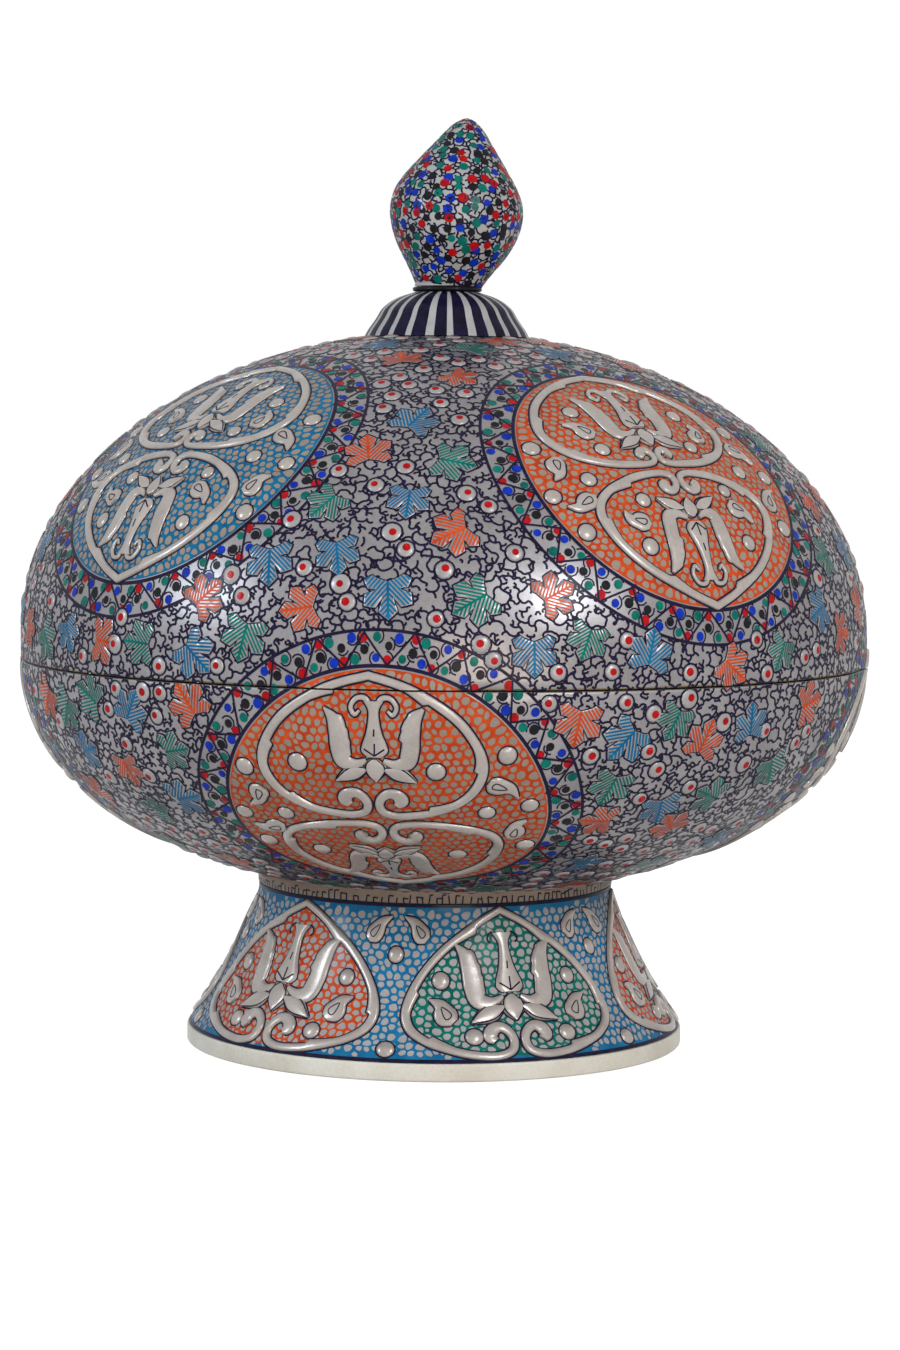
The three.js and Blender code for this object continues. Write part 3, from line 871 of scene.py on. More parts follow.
class Panel:
    """A flat drawing, with a sheet for each layer, that is bent onto a skin when it is done."""

    EDGE_INK = 0.62
    PEARL_INK = 0.5
    DROP_INK = 0.42
    OUTSIDE_SHARE = 0.4
    SHOULDER_SHARE = 0.84
    SHOULDER_INK_SHARE = 0.8
    # A drop's head: how far ahead, and how wide, as shares of its width
    HEAD_SHARES = ((-0.48, 0.45), (-0.25, 0.88), (0, 1))
    WAIST_SHARE = 0.58
    TIP_SHARE = 0.08
    # The drop drawn on it: how far back its heel is, how far along its tip, and how wide it is
    HEEL_SHARE, POINT_SHARE, SMALL_SHARE = 0.16, 0.75, 0.17
    CIRCLE_STEPS = 18

    def __init__(self, bend: Bend) -> None:
        """Starts an empty drawing that will be bent."""
        self.bend = bend
        self.sheets: defaultdict[Layer, Sheet] = defaultdict(Sheet)

    def ink(self, points: Array, width: float, lift: float = LIFTS.outline, closed: bool = False) -> None:
        """Draws a line in ink."""
        self.sheets[Layer.OUTLINES].line(points, width, lift, closed)

    def scroll(self, drawing: "HeartFrame") -> BMesh:
        """Inks a frame's outline, and gives its plaster, bent, as a mesh of its own."""
        self.raised(drawing.line(), SCROLL_RISE, Layer.SCROLLS, drawing.NOTCH_SHARES)
        return self.sheets.pop(Layer.SCROLLS).bent(self.bend)

    def settle(self, coat: Coat) -> None:
        """Bends every sheet and adds it to a coat."""
        for layer, sheet in self.sheets.items():
            take_in(coat[layer], sheet.bent(self.bend))

    def raised(
        self, line: Array, height: float, layer: Layer = Layer.PLASTER, notches: Sequence[float] = (),
        cusp: float = 1.35, inked: bool = False,
    ) -> None:
        """Lays a raised line with an ink outline.

        Args:
            line: The line's points, each with its x, its y and its width, with its inner side to the right.
            height: The line's height.
            layer: The layer that takes the plaster.
            notches: Where along the inner side, as shares of the line, it has a cusp.
            cusp: How far a cusp stands inwards.
            inked: Whether a line of ink also runs along its shoulders, where it lies over other plaster.
        """
        half = np.maximum(line[:, 2], 0.2) / 2
        steps = np.linalg.norm(np.diff(line[:, :2], axis=0), axis=1)
        run = np.concatenate([[0], np.cumsum(steps)])
        inner = half + cusps(run, [share * run[-1] for share in notches], cusp)
        self.sheets[layer].ridge(line, half, inner, height)
        hand = right_hand(line, False)

        def loop(share: float, beyond: float) -> Array:
            """Gives the loop along a share of the line's width, or beyond it."""
            left = line[:, :2] - hand * (half * share + beyond)[:, None]
            right = line[:, :2] + hand * (inner * share + beyond)[:, None]
            return np.vstack([left, right[::-1]])

        self.ink(loop(1, self.EDGE_INK * self.OUTSIDE_SHARE), self.EDGE_INK, closed=True)
        if inked:
            lift = height * self.SHOULDER_SHARE + LIFTS.on_top
            self.ink(loop(self.SHOULDER_SHARE, 0), self.EDGE_INK * self.SHOULDER_INK_SHARE, lift, True)

    def bead(self, x: float, y: float, radius: float, height: float = PEARL_RISE) -> None:
        """Lays a pearl with an ink outline."""
        self.sheets[Layer.PLASTER].pearl(x, y, radius, height)
        line = circle(radius + self.PEARL_INK * self.OUTSIDE_SHARE, self.CIRCLE_STEPS, x, y)
        self.ink(line, self.PEARL_INK, closed=True)

    def drop(self, ends: Sequence[float], width: float, turn: float, height: float = DROP_RISE) -> None:
        """Lays a hooked drop, with a smaller drop drawn in ink on it.

        Args:
            ends: The places of its head and its tail.
            width: The head's width.
            turn: How far the tail bends to the right of a straight line.
            height: The plaster's height.
        """
        head, tail = np.array(ends).reshape(2, 2)
        run = tail - head
        ahead = run / np.linalg.norm(run)
        aside = np.array([ahead[1], -ahead[0]])
        waist = head + run * 0.5 - aside * turn
        points = [(*(head + ahead * width * along), width * wide) for along, wide in self.HEAD_SHARES]
        points += [(*waist, width * self.WAIST_SHARE), (*tail, width * self.TIP_SHARE)]
        self.raised(smooth_line(points), height)
        heel, tip = head - ahead * width * self.HEEL_SHARE, head + (waist - head) * self.POINT_SHARE
        inner = width * self.SMALL_SHARE
        small = [heel - ahead * inner * 0.5, heel + aside * inner, tip, heel - aside * inner]
        self.ink(smooth_line(small, 4, True), self.DROP_INK, height + LIFTS.on_top, True)


def cusps(run: Array, places: Sequence[float], size: float) -> Array:
    """Gives how far cusps stand out along a line: each swells slowly and ends sharply.

    Args:
        run: The length of line up to each point.
        places: Where each cusp ends.
        size: How far one stands out.

    Returns:
        The extra width at each point.
    """
    swell = 9.0
    extra = np.zeros_like(run)
    for place in places:
        share = 1 - (place - run) / swell
        extra = np.maximum(extra, np.where((share > 0) & (share <= 1), size * share, 0))
    return extra


class Web:
    """Cells round scattered seeds, as fine brushwork divides a ground."""

    def __init__(self, seeds: Array, chart: Array) -> None:
        """Finds each seed's neighbours.

        Args:
            seeds: The seeds' places in the drawing.
            chart: Their places on a map that keeps angles true.
        """
        self.seeds = seeds
        self.chart = chart
        found = delaunay_2d_cdt([Vector(place) for place in chart.tolist()], [], [], 0, 1e-9)
        order = np.array([origin[0] for origin in found[3]])
        self.triangles = order[np.array(found[2])]
        self.middles = seeds[self.triangles].mean(axis=1)

    def borders(self) -> Array:
        """Gives the pairs of cell corners that a border joins.

        Returns:
            The pairs.
        """
        corners = self.triangles
        sides = np.sort(np.concatenate([corners[:, [0, 1]], corners[:, [1, 2]], corners[:, [2, 0]]]), axis=1)
        owners = np.tile(np.arange(len(corners)), 3)
        order = np.lexsort((sides[:, 1], sides[:, 0]))
        sides, owners = sides[order], owners[order]
        same = (sides[1:] == sides[:-1]).all(axis=1)
        return np.stack([owners[:-1][same], owners[1:][same]], axis=1)

    def cells(self) -> list[tuple[int, Array]]:
        """Gives each whole cell as its seed's number and its corners in order.

        Returns:
            The cells.
        """
        seed = self.triangles.ravel()
        owner = np.repeat(np.arange(len(self.triangles)), 3)
        away = self.chart[self.triangles].mean(axis=1)[owner] - self.chart[seed]
        order = np.lexsort((np.arctan2(away[:, 1], away[:, 0]), seed))
        seed, owner = seed[order], owner[order]
        starts = np.flatnonzero(np.diff(seed, prepend=-1))
        ends = np.append(starts[1:], len(seed))
        return [(seed[a], self.middles[owner[a:b]]) for a, b in zip(starts, ends) if b - a > 3]


def pebble(seed: Array, corners: Array, share: float) -> Array:
    """Gives a cell's reserved patch, drawn in towards its seed and with its corners cut off.

    Args:
        seed: The cell's seed.
        corners: The cell's corners.
        share: The patch's size as a share of the cell's.

    Returns:
        The patch's corners.
    """
    inner = seed + (corners - seed) * share
    following = np.roll(inner, -1, axis=0)
    side = following - inner
    cut = 0.17
    return np.stack([inner + side * cut, inner + side * (1 - cut)], axis=1).reshape(-1, 2)


# Pieces


def add_object(name: str, data: ID) -> Object:
    """Adds an object with its data to the scene."""
    thing = bpy.data.objects.new(name, data)
    bpy.context.scene.collection.objects.link(thing)
    return thing


def add_piece(
    name: str, bm: BMesh, finish: Lacquer, body: str, node: str = "", lining: Lacquer | None = None,
) -> None:
    """Makes a finished piece from a mesh in millimetres.

    Args:
        name: The piece's name.
        bm: Its mesh, which is let go.
        finish: Its finish.
        body: The body it moves with.
        node: The node that it stands for, if it does.
        lining: The finish of faces that have the second material.
    """
    bmesh.ops.scale(bm, vec=(METRES, METRES, METRES), verts=bm.verts)
    for face in bm.faces:
        face.smooth = True
    mesh = as_mesh(bm, name)
    mesh.set_sharp_from_angle(angle=SHARP_ANGLE)
    piece = add_object(name, mesh)
    mesh.materials.append(finish.material())
    if lining:
        mesh.materials.append(lining.material())
    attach(piece, body)
    if node:
        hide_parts(node)
    log.info("%s: %d faces", name, len(mesh.polygons))


def turn_profile(profile: Pairs, steps: int, closed: bool) -> BMesh:
    """Turns a profile about an upright axis.

    Args:
        profile: Its radii and heights.
        steps: How many steps go round.
        closed: Whether the profile closes on itself.

    Returns:
        The turned mesh.
    """
    bm = bmesh.new()
    spin_row(bm, [bm.verts.new((radius, 0, height)) for radius, height in profile], steps, closed)
    bmesh.ops.recalc_face_normals(bm, faces=bm.faces)
    return bm


def half_above(bm: BMesh, height: float, side: int, fill: bool) -> BMesh:
    """Gives a copy of the part of a mesh that lies on one side of a level.

    Args:
        bm: The mesh, which stays whole.
        height: The level.
        side: 1 for the part above it, -1 for the part below it.
        fill: Whether the cut is closed.

    Returns:
        The part.
    """
    part = bm.copy()
    result = bmesh.ops.bisect_plane(
        part, geom=everything(part), plane_co=(0, 0, height), plane_no=(0, 0, side), clear_inner=True,
    )
    if fill:
        bmesh.ops.holes_fill(part, edges=of_kind(result["geom_cut"], BMEdge), sides=0)
    return part


@dataclass
class Body:
    """The bowl's and the lid's shells, rims and collar."""

    form: BodyForm = field(default_factory=BodyForm)
    steps: int = 192
    collar_thickness: float = 2.4
    lid_clearance: float = 0.9
    hole_radius: float = 4.3
    lip: float = 0.6
    glue: float = 0.3
    outer_steps: int = 72
    inner_steps: int = 40

    LIP_SHARE = 0.3  # where the lip's rounding has its middle

    def __post_init__(self) -> None:
        """Reads the seam's heights from the frame."""
        self.bowl_rim, self.lid_rim = node_levels("bowl_rim_band"), node_levels("lid_rim_band")
        self.seam = (self.bowl_rim[1] + self.lid_rim[0]) / 2
        self.bowl_joint = (self.bowl_rim[0] + node_levels("bowl_shell")[1]) / 2
        self.lid_joint = (self.lid_rim[1] + node_levels("lid_shell")[0]) / 2
        self.skin = self.form.skin(self.seam)

    def build(self) -> None:
        """Makes the five pieces."""
        self._lid_dome()
        self._bowl_wall()
        self._rim("lid_lip", self.lid_rim[0], self.lid_joint, -1, "lid", SEAM_GOLD)
        # The bowl's pale lip is partly its lighter unpainted edge and partly a painted highlight along the
        # seam
        self._rim("bowl_lip", self.bowl_joint, self.bowl_rim[1], 1, "bowl", PEARL_SILVER)
        self._collar()

    def _line_inside(self, bm: BMesh) -> None:
        """Gives the second material to the faces that look inwards.

        Args:
            bm: The shell's mesh.
        """
        middle = Vector((0, 0, self.form.widest))
        for face in bm.faces:
            face.normal_update()
            if face.normal.dot(face.calc_center_median() - middle) < 0:
                face.material_index = 1

    def _lid_dome(self) -> None:
        """Makes the lid's dome, with the hole for the finial's peg."""
        form = self.form
        outer = form.profile(form.widest, form.height_at(self.hole_radius, 1), 0, self.outer_steps)
        top = form.height_at(self.hole_radius, 1, form.wall)
        inner = form.profile(form.widest, top, form.wall, self.inner_steps)
        low = self.lid_joint
        foot = [(form.radius_at(low, inset), low) for inset in (form.wall, 0)]
        bm = turn_profile([*foot, *outer, *reversed(inner)], self.steps, True)
        self._line_inside(bm)
        add_piece("lid_dome", bm, SILVER_GROUND, "lid", "lid_shell", LINING)

    def _bowl_wall(self) -> None:
        """Makes the bowl's wall, down to the middle of its underside."""
        form = self.form
        profiles = []
        for inset, steps in ((0, self.outer_steps), (form.wall, self.inner_steps)):
            drop = form.bowl_drop - inset
            start = math.asin(((form.widest - self.bowl_joint) / drop) ** (form.bowl_fullness / 2))
            points = []
            for step in range(steps + 1):
                angle = start + (math.pi / 2 - start) * step / steps
                height = form.widest - drop * math.sin(angle) ** (2 / form.bowl_fullness)
                radius = 0.0 if step == steps else (form.radius - inset) * math.cos(angle)
                points.append((radius, height))
            profiles.append(points)
        outer, inner = profiles
        bm = turn_profile([*reversed(outer), *inner], self.steps, False)
        self._line_inside(bm)
        add_piece("bowl_wall", bm, SILVER_GROUND, "bowl", "bowl_shell", LINING)

    def _rim(self, name: str, low: float, high: float, lip_side: int, body: str, edging: Lacquer) -> None:
        """Makes a rim band, whose lip at the seam is rounded.

        Args:
            name: The piece's name.
            low: Its lowest height.
            high: Its highest height.
            lip_side: 1 if the lip is its top edge, -1 if it is its bottom edge.
            body: The body it moves with.
            edging: The finish of its lip and its inside.
        """
        form = self.form
        lip, rest = (high, low) if lip_side > 0 else (low, high)
        rounded = self.lip * self.LIP_SHARE
        profile = [
            (form.radius_at(rest), rest),
            (form.radius_at(lip - lip_side * self.lip), lip - lip_side * self.lip),
            (form.radius_at(lip) - rounded, lip - lip_side * rounded),
            (form.radius_at(lip) - self.lip, lip),
            (form.radius_at(lip, form.wall), lip),
            (form.radius_at(rest, form.wall), rest),
        ]
        bm = turn_profile(profile, self.steps, True)
        for face in bm.faces:
            centre = face.calc_center_median()
            on_lip = abs(centre.z - lip) < self.lip
            face.material_index = int(on_lip or math.hypot(centre.x, centre.y) < form.radius - form.wall / 2)
        add_piece(name, bm, SILVER_GROUND, body, f"{body}_rim_band", edging)

    def _collar(self) -> None:
        """Makes the collar inside the bowl's mouth."""
        form = self.form
        low, high = node_levels("bowl_collar")
        guide = form.radius_at(self.seam, form.wall) - self.lid_clearance
        middle = (low + self.seam) / 2

        def seat(height: float) -> float:
            """Gives the radius that fits inside the bowl at a height."""
            return min(form.radius_at(height, form.wall) - self.glue, guide)

        outer = [(seat(low), low), (seat(middle), middle), (guide, self.seam), (guide, high - self.lip)]
        top = [(guide - self.lip, high), (guide - self.collar_thickness + self.lip, high)]
        inner = [(radius - self.collar_thickness, height) for radius, height in reversed(outer)]
        bm = turn_profile([*outer, *top, *inner], self.steps, True)
        add_piece("mouth_collar", bm, LINING, "bowl", "bowl_collar")


# Ornament


@dataclass(frozen=True)
class HeartFrame:
    """A pointed heart-shaped frame whose foot curls up into two volutes."""

    half_width: float
    length: float
    start: float  # where its foot is
    aside: float = 0.0  # how far it stands to the right of the drawing's middle
    round: bool = False  # whether its sides are round rather than straight
    curl: float = 1.0  # the size of its volutes as a share of the usual size
    band: float = 2.8
    flip: int = 1  # 1 for one that stands, -1 for one that hangs

    # Across and along as shares of the half width and the length, and the band's width as a share
    STRAIGHT_SHARES = (
        (0, 1, 0.9), (0.25, 0.92, 0.9), (0.65, 0.735, 1), (0.86, 0.572, 1), (0.973, 0.414, 1.05),
        (1, 0.283, 1.1), (0.95, 0.189, 1.1), (0.816, 0.11, 1), (0.66, 0.062, 1), (0.427, 0.014, 1),
    )
    ROUND_SHARES = (
        (0, 1, 0.9), (0.24, 0.955, 0.9), (0.47, 0.885, 0.9), (0.78, 0.72, 1), (0.915, 0.59, 1),
        (1, 0.43, 1.05), (0.99, 0.31, 1.1), (0.9, 0.19, 1.1), (0.75, 0.095, 1), (0.54, 0.03, 1),
        (0.34, 0.006, 1),
    )
    VOLUTE_SHARES = (
        (0.19, 0.004, 1), (0.08, 0.04, 1), (0.052, 0.105, 1), (0.085, 0.17, 1.1), (0.16, 0.205, 1.3),
        (0.235, 0.18, 1.6), (0.25, 0.135, 1.65), (0.215, 0.105, 1),
    )
    NOTCH_SHARES = (0.2, 0.3, 0.44, 0.6, 0.74, 0.85)
    SPAN_STEPS = 9

    def side_shares(self) -> Shares:
        """Gives the shares of one side, from the point to the foot."""
        return self.ROUND_SHARES if self.round else self.STRAIGHT_SHARES

    def half(self, side: int) -> Array:
        """Gives the smooth line from the point to one volute, with widths.

        Args:
            side: 1 for the right, -1 for the left.

        Returns:
            The line.
        """
        wide, tall = side * self.half_width, self.flip * self.length
        thin = math.sqrt(self.curl)
        volute = [(out * self.curl, up * self.curl, width * thin) for out, up, width in self.VOLUTE_SHARES]
        shares = (*self.side_shares(), *volute)
        points = [
            (self.aside + out * wide, self.start + up * tall, width * self.band) for out, up, width in shares
        ]
        return smooth_line(points, self.SPAN_STEPS)

    def line(self) -> Array:
        """Gives the whole line from one volute to the other, with its inner side to the right."""
        return np.vstack([self.half(-self.flip)[::-1], self.half(self.flip)[1:]])

    def field(self) -> Array:
        """Gives the outline of the area that the frame holds.

        Returns:
            The outline.
        """
        right = (*self.side_shares(), self.VOLUTE_SHARES[0])
        outline = [(out, up) for out, up, _ in right] + [(-out, up) for out, up, _ in reversed(right[1:])]
        points = [(out * self.half_width, self.start + self.flip * up * self.length) for out, up in outline]
        return smooth_line(points, 2, True)[:, :2]


@dataclass(frozen=True)
class Lotus:
    """A flower of three petals with two horned leaves and a vase-shaped stem."""

    x: float
    y: float  # the middle petal's place
    span: float  # how far the horns' points are to each side
    rise: float  # how far the vase's top is above the middle petal
    flip: int = 1  # 1 for one that stands, -1 for one that hangs
    curled: bool = True  # whether the vase's top curls over in plaster, and not only in ink

    # Across, and how wide, as shares of the span, and up as shares of the rise (the petals' of the span)
    HORN_SHARES = (
        (0.17, 0.12, 0.08), (0.38, 0.05, 0.2), (0.6, 0.08, 0.32), (0.69, 0.26, 0.34), (0.73, 0.48, 0.32),
        (0.81, 0.67, 0.25), (1.0, 0.82, 0.03),
    )
    SIDE_PETAL_SHARES = ((0.18, -0.02, 0.08), (0.36, -0.09, 0.3), (0.54, -0.18, 0.28), (0.77, -0.31, 0.03))
    MIDDLE_PETAL_SHARES = (
        (0, 0.2, 0.1), (-0.01, 0.11, 0.36), (0, -0.01, 0.44), (0, -0.13, 0.34), (0.01, -0.28, 0.03),
    )
    VASE_SHARES = (
        (0, 0.18, 0.34), (0, 0.24, 0.5), (0, 0.34, 0.48), (0, 0.5, 0.32), (0, 0.68, 0.22), (0, 0.84, 0.22),
        (0, 0.95, 0.42),
    )
    CURL_SHARES = (
        (0.07, 0.88, 0.1), (0.16, 0.98, 0.1), (0.34, 0.98, 0.09), (0.46, 0.86, 0.09), (0.38, 0.76, 0.08),
        (0.28, 0.82, 0.05),
    )
    INK_CURL_SHARES = ((0.2, 0.97, 1), (0.3, 0.93, 1), (0.32, 0.86, 1), (0.26, 0.83, 1))
    HORN_NOTCH_SHARES = (0.16, 0.3, 0.44)
    MARK_SHARES = (
        ((0, 0.2), (0.01, 0.38)), ((0, 0.2), (-0.2, 0.3)), ((0, 0.2), (0.2, 0.3)), ((0, 0.48), (0.01, 0.58)),
    )
    PETAL_SHARE, CURL_SHARE, MIDDLE_SHARE = 1.06, 0.8, 1.2
    HEIGHT = 1.0
    CUSP = 1.1
    CURL_INK = 0.8
    MARK_INK = 0.55

    def _line(self, shares: Shares, side: int = 1, rise: float = 0.0, per_span: int = 4) -> Array:
        """Draws a line of shares in its place, with a rise of its own where one is given.

        Args:
            shares: The shares.
            side: 1 for the right, -1 for the left.
            rise: The rise that up is a share of.
            per_span: How smooth it is. At 0 it is straight.

        Returns:
            The line.
        """
        tall = self.flip * (rise or self.rise)
        points = []
        for out, up, wide in shares:
            points.append((self.x + side * out * self.span, self.y + up * tall, wide * self.span))
        return smooth_line(points, per_span) if per_span else np.array(points)

    def draw(self, panel: Panel) -> None:
        """Draws the flower on a panel.

        Args:
            panel: The panel.
        """
        for side in (-1, 1):
            horn, notches = self._line(self.HORN_SHARES, side, per_span=6), self.HORN_NOTCH_SHARES
            if side == -self.flip:
                notches = tuple(1 - share for share in notches)
            else:
                horn = horn[::-1]
            panel.raised(horn, self.HEIGHT, notches=notches, cusp=self.CUSP)
            petal = self._line(self.SIDE_PETAL_SHARES, side, self.span)
            panel.raised(petal, self.HEIGHT * self.PETAL_SHARE, inked=True)
            if self.curled:
                panel.raised(self._line(self.CURL_SHARES, side), self.HEIGHT * self.CURL_SHARE)
            else:
                panel.ink(self._line(self.INK_CURL_SHARES, side), self.CURL_INK)
        panel.raised(self._line(self.VASE_SHARES), self.HEIGHT)
        middle = self._line(self.MIDDLE_PETAL_SHARES, rise=self.span)
        panel.raised(middle, self.HEIGHT * self.MIDDLE_SHARE, inked=True)
        for ends in self.MARK_SHARES:
            mark = self._line([(*end, 0) for end in ends], per_span=0)
            panel.ink(mark, self.MARK_INK, self.HEIGHT + LIFTS.on_top)


@dataclass(frozen=True)
class BorderRing:
    """The ring round a medallion: ink circles, a zigzag between them, and dots in its triangles."""

    inner: float = 53.5
    outer: float = 64.2
    pairs: int = 22
    dot: float = 1.6
    inks: tuple[float, float] = (1.15, 0.95)
    zigzag: float = 0.7
    gap: float = 0.4  # between the circles and the zigzag
    steps: int = 144

    # Where dots are: the red one's rise, the others' places across, and their rises
    RED_SHARE = 0.68
    ACROSS_SHARES = (-0.462, 0, 0.462)
    MIDDLE_SHARE, SIDE_SHARE = 0.1, 0.62
    STRAY_SHARE = 0.1
    STRAY = 0.3
    DOT_SHARES = (0.85, 1.1)
    # A curl beside a dot: how far round it goes, how far outside the dot it starts and ends, and its width
    CURL_TURNS, CURL_REACH, CURL_INK, CURL_STEPS = (1.6, 4.2), (0.3, 1.0), 0.55, 8

    def draw(self, panel: Panel, rng: Random) -> None:
        """Draws the ring, with a source of the hand's unevenness.

        Args:
            panel: The drawing.
            rng: The source.
        """
        for radius, width in zip((self.inner, self.outer), self.inks):
            panel.ink(circle(radius, self.steps), width, closed=True)
        low, high = self.inner + self.gap, self.outer - self.gap
        middle = (low + high) / 2
        reach = (high - low) / 2
        step = FULL_TURN / self.pairs / 2
        colours = (Layer.BLUE_DOTS, Layer.BLACK_DOTS, Layer.TEAL_DOTS)
        for count in range(self.pairs * 2):
            turn = count * step + rng.uniform(-self.STRAY_SHARE, self.STRAY_SHARE) * step
            up = 1 if count % 2 else -1
            ends = [(turn - step / 2, middle - up * reach), (turn + step / 2, middle + up * reach)]
            panel.ink(in_steps([self._spot(*end) for end in ends]), self.zigzag)
            peak = turn + step / 2
            self._dot(panel, rng, peak, middle + up * reach * self.RED_SHARE, Layer.RED_DOTS)
            for place, colour in zip(self.ACROSS_SHARES, colours):
                along = middle - up * reach * (self.SIDE_SHARE if place else self.MIDDLE_SHARE)
                self._dot(panel, rng, peak + place * step, along, colour)

    def _dot(self, panel: Panel, rng: Random, turn: float, radius: float, layer: Layer) -> None:
        """Paints one dot, and often a curl of ink beside it.

        Args:
            panel: The drawing.
            rng: The source of the hand's unevenness.
            turn: How far round the dot is.
            radius: How far out it is.
            layer: Its layer.
        """
        x, y = self._spot(turn, radius)
        x += rng.uniform(-self.STRAY, self.STRAY)
        y += rng.uniform(-self.STRAY, self.STRAY)
        panel.sheets[layer].dot(x, y, self.dot * rng.uniform(*self.DOT_SHARES), LIFTS.dot)
        start = rng.uniform(0, FULL_TURN)
        turns = start + np.linspace(0, rng.uniform(*self.CURL_TURNS), self.CURL_STEPS)
        reach = self.dot + np.linspace(*self.CURL_REACH, self.CURL_STEPS)
        curl = np.stack([x + reach * np.cos(turns), y + reach * np.sin(turns)], axis=1)
        panel.ink(curl, self.CURL_INK, LIFTS.vermicelli)

    @staticmethod
    def _spot(turn: float, radius: float) -> tuple[float, float]:
        """Gives a place on the ring."""
        return radius * math.cos(turn), radius * math.sin(turn)


# How far a pebble strays, how far the rows stay inside the edge, and how much of its cell a pebble fills
PEBBLE_STRAY, PEBBLE_MARGIN = 0.3, 0.6
RING_INSET, RING_STRAY, EDGE_GAP = 0.45, 0.2, 0.3
DISC_FILL_SHARES = (0.63, 0.76)


def pebble_disc(radius: float, pitch: float, panel: Panel, rng: Random) -> None:
    """Fills a disc with reserved pebbles.

    Args:
        radius: The disc's radius.
        pitch: The pebbles' spacing.
        panel: The drawing.
        rng: The source of the hand's unevenness.
    """
    rows = math.ceil(radius / pitch / ROW_SHARE)
    edge, inset = radius - EDGE_GAP, pitch * RING_INSET
    seeds = []
    for row in range(-rows, rows + 1):
        for column in range(-rows, rows + 1):
            x = (column + 0.5 * (row % 2)) * pitch + rng.uniform(-PEBBLE_STRAY, PEBBLE_STRAY) * pitch
            y = row * pitch * ROW_SHARE + rng.uniform(-PEBBLE_STRAY, PEBBLE_STRAY) * pitch
            if math.hypot(x, y) < edge - inset - pitch * PEBBLE_MARGIN:
                seeds.append((x, y))
    count = round(FULL_TURN * edge / pitch)
    for place in range(count):
        turn = (place + rng.uniform(-RING_STRAY, RING_STRAY)) / count * FULL_TURN
        for reach in (edge - inset, edge + inset):
            seeds.append((reach * math.cos(turn), reach * math.sin(turn)))
    places = np.array(seeds)
    sheet = panel.sheets[Layer.PEBBLES]
    for seed, corners in Web(places, places).cells():
        if math.hypot(*places[seed]) < edge:
            sheet.cell(pebble(places[seed], corners, rng.uniform(*DISC_FILL_SHARES)), LIFTS.pebble)


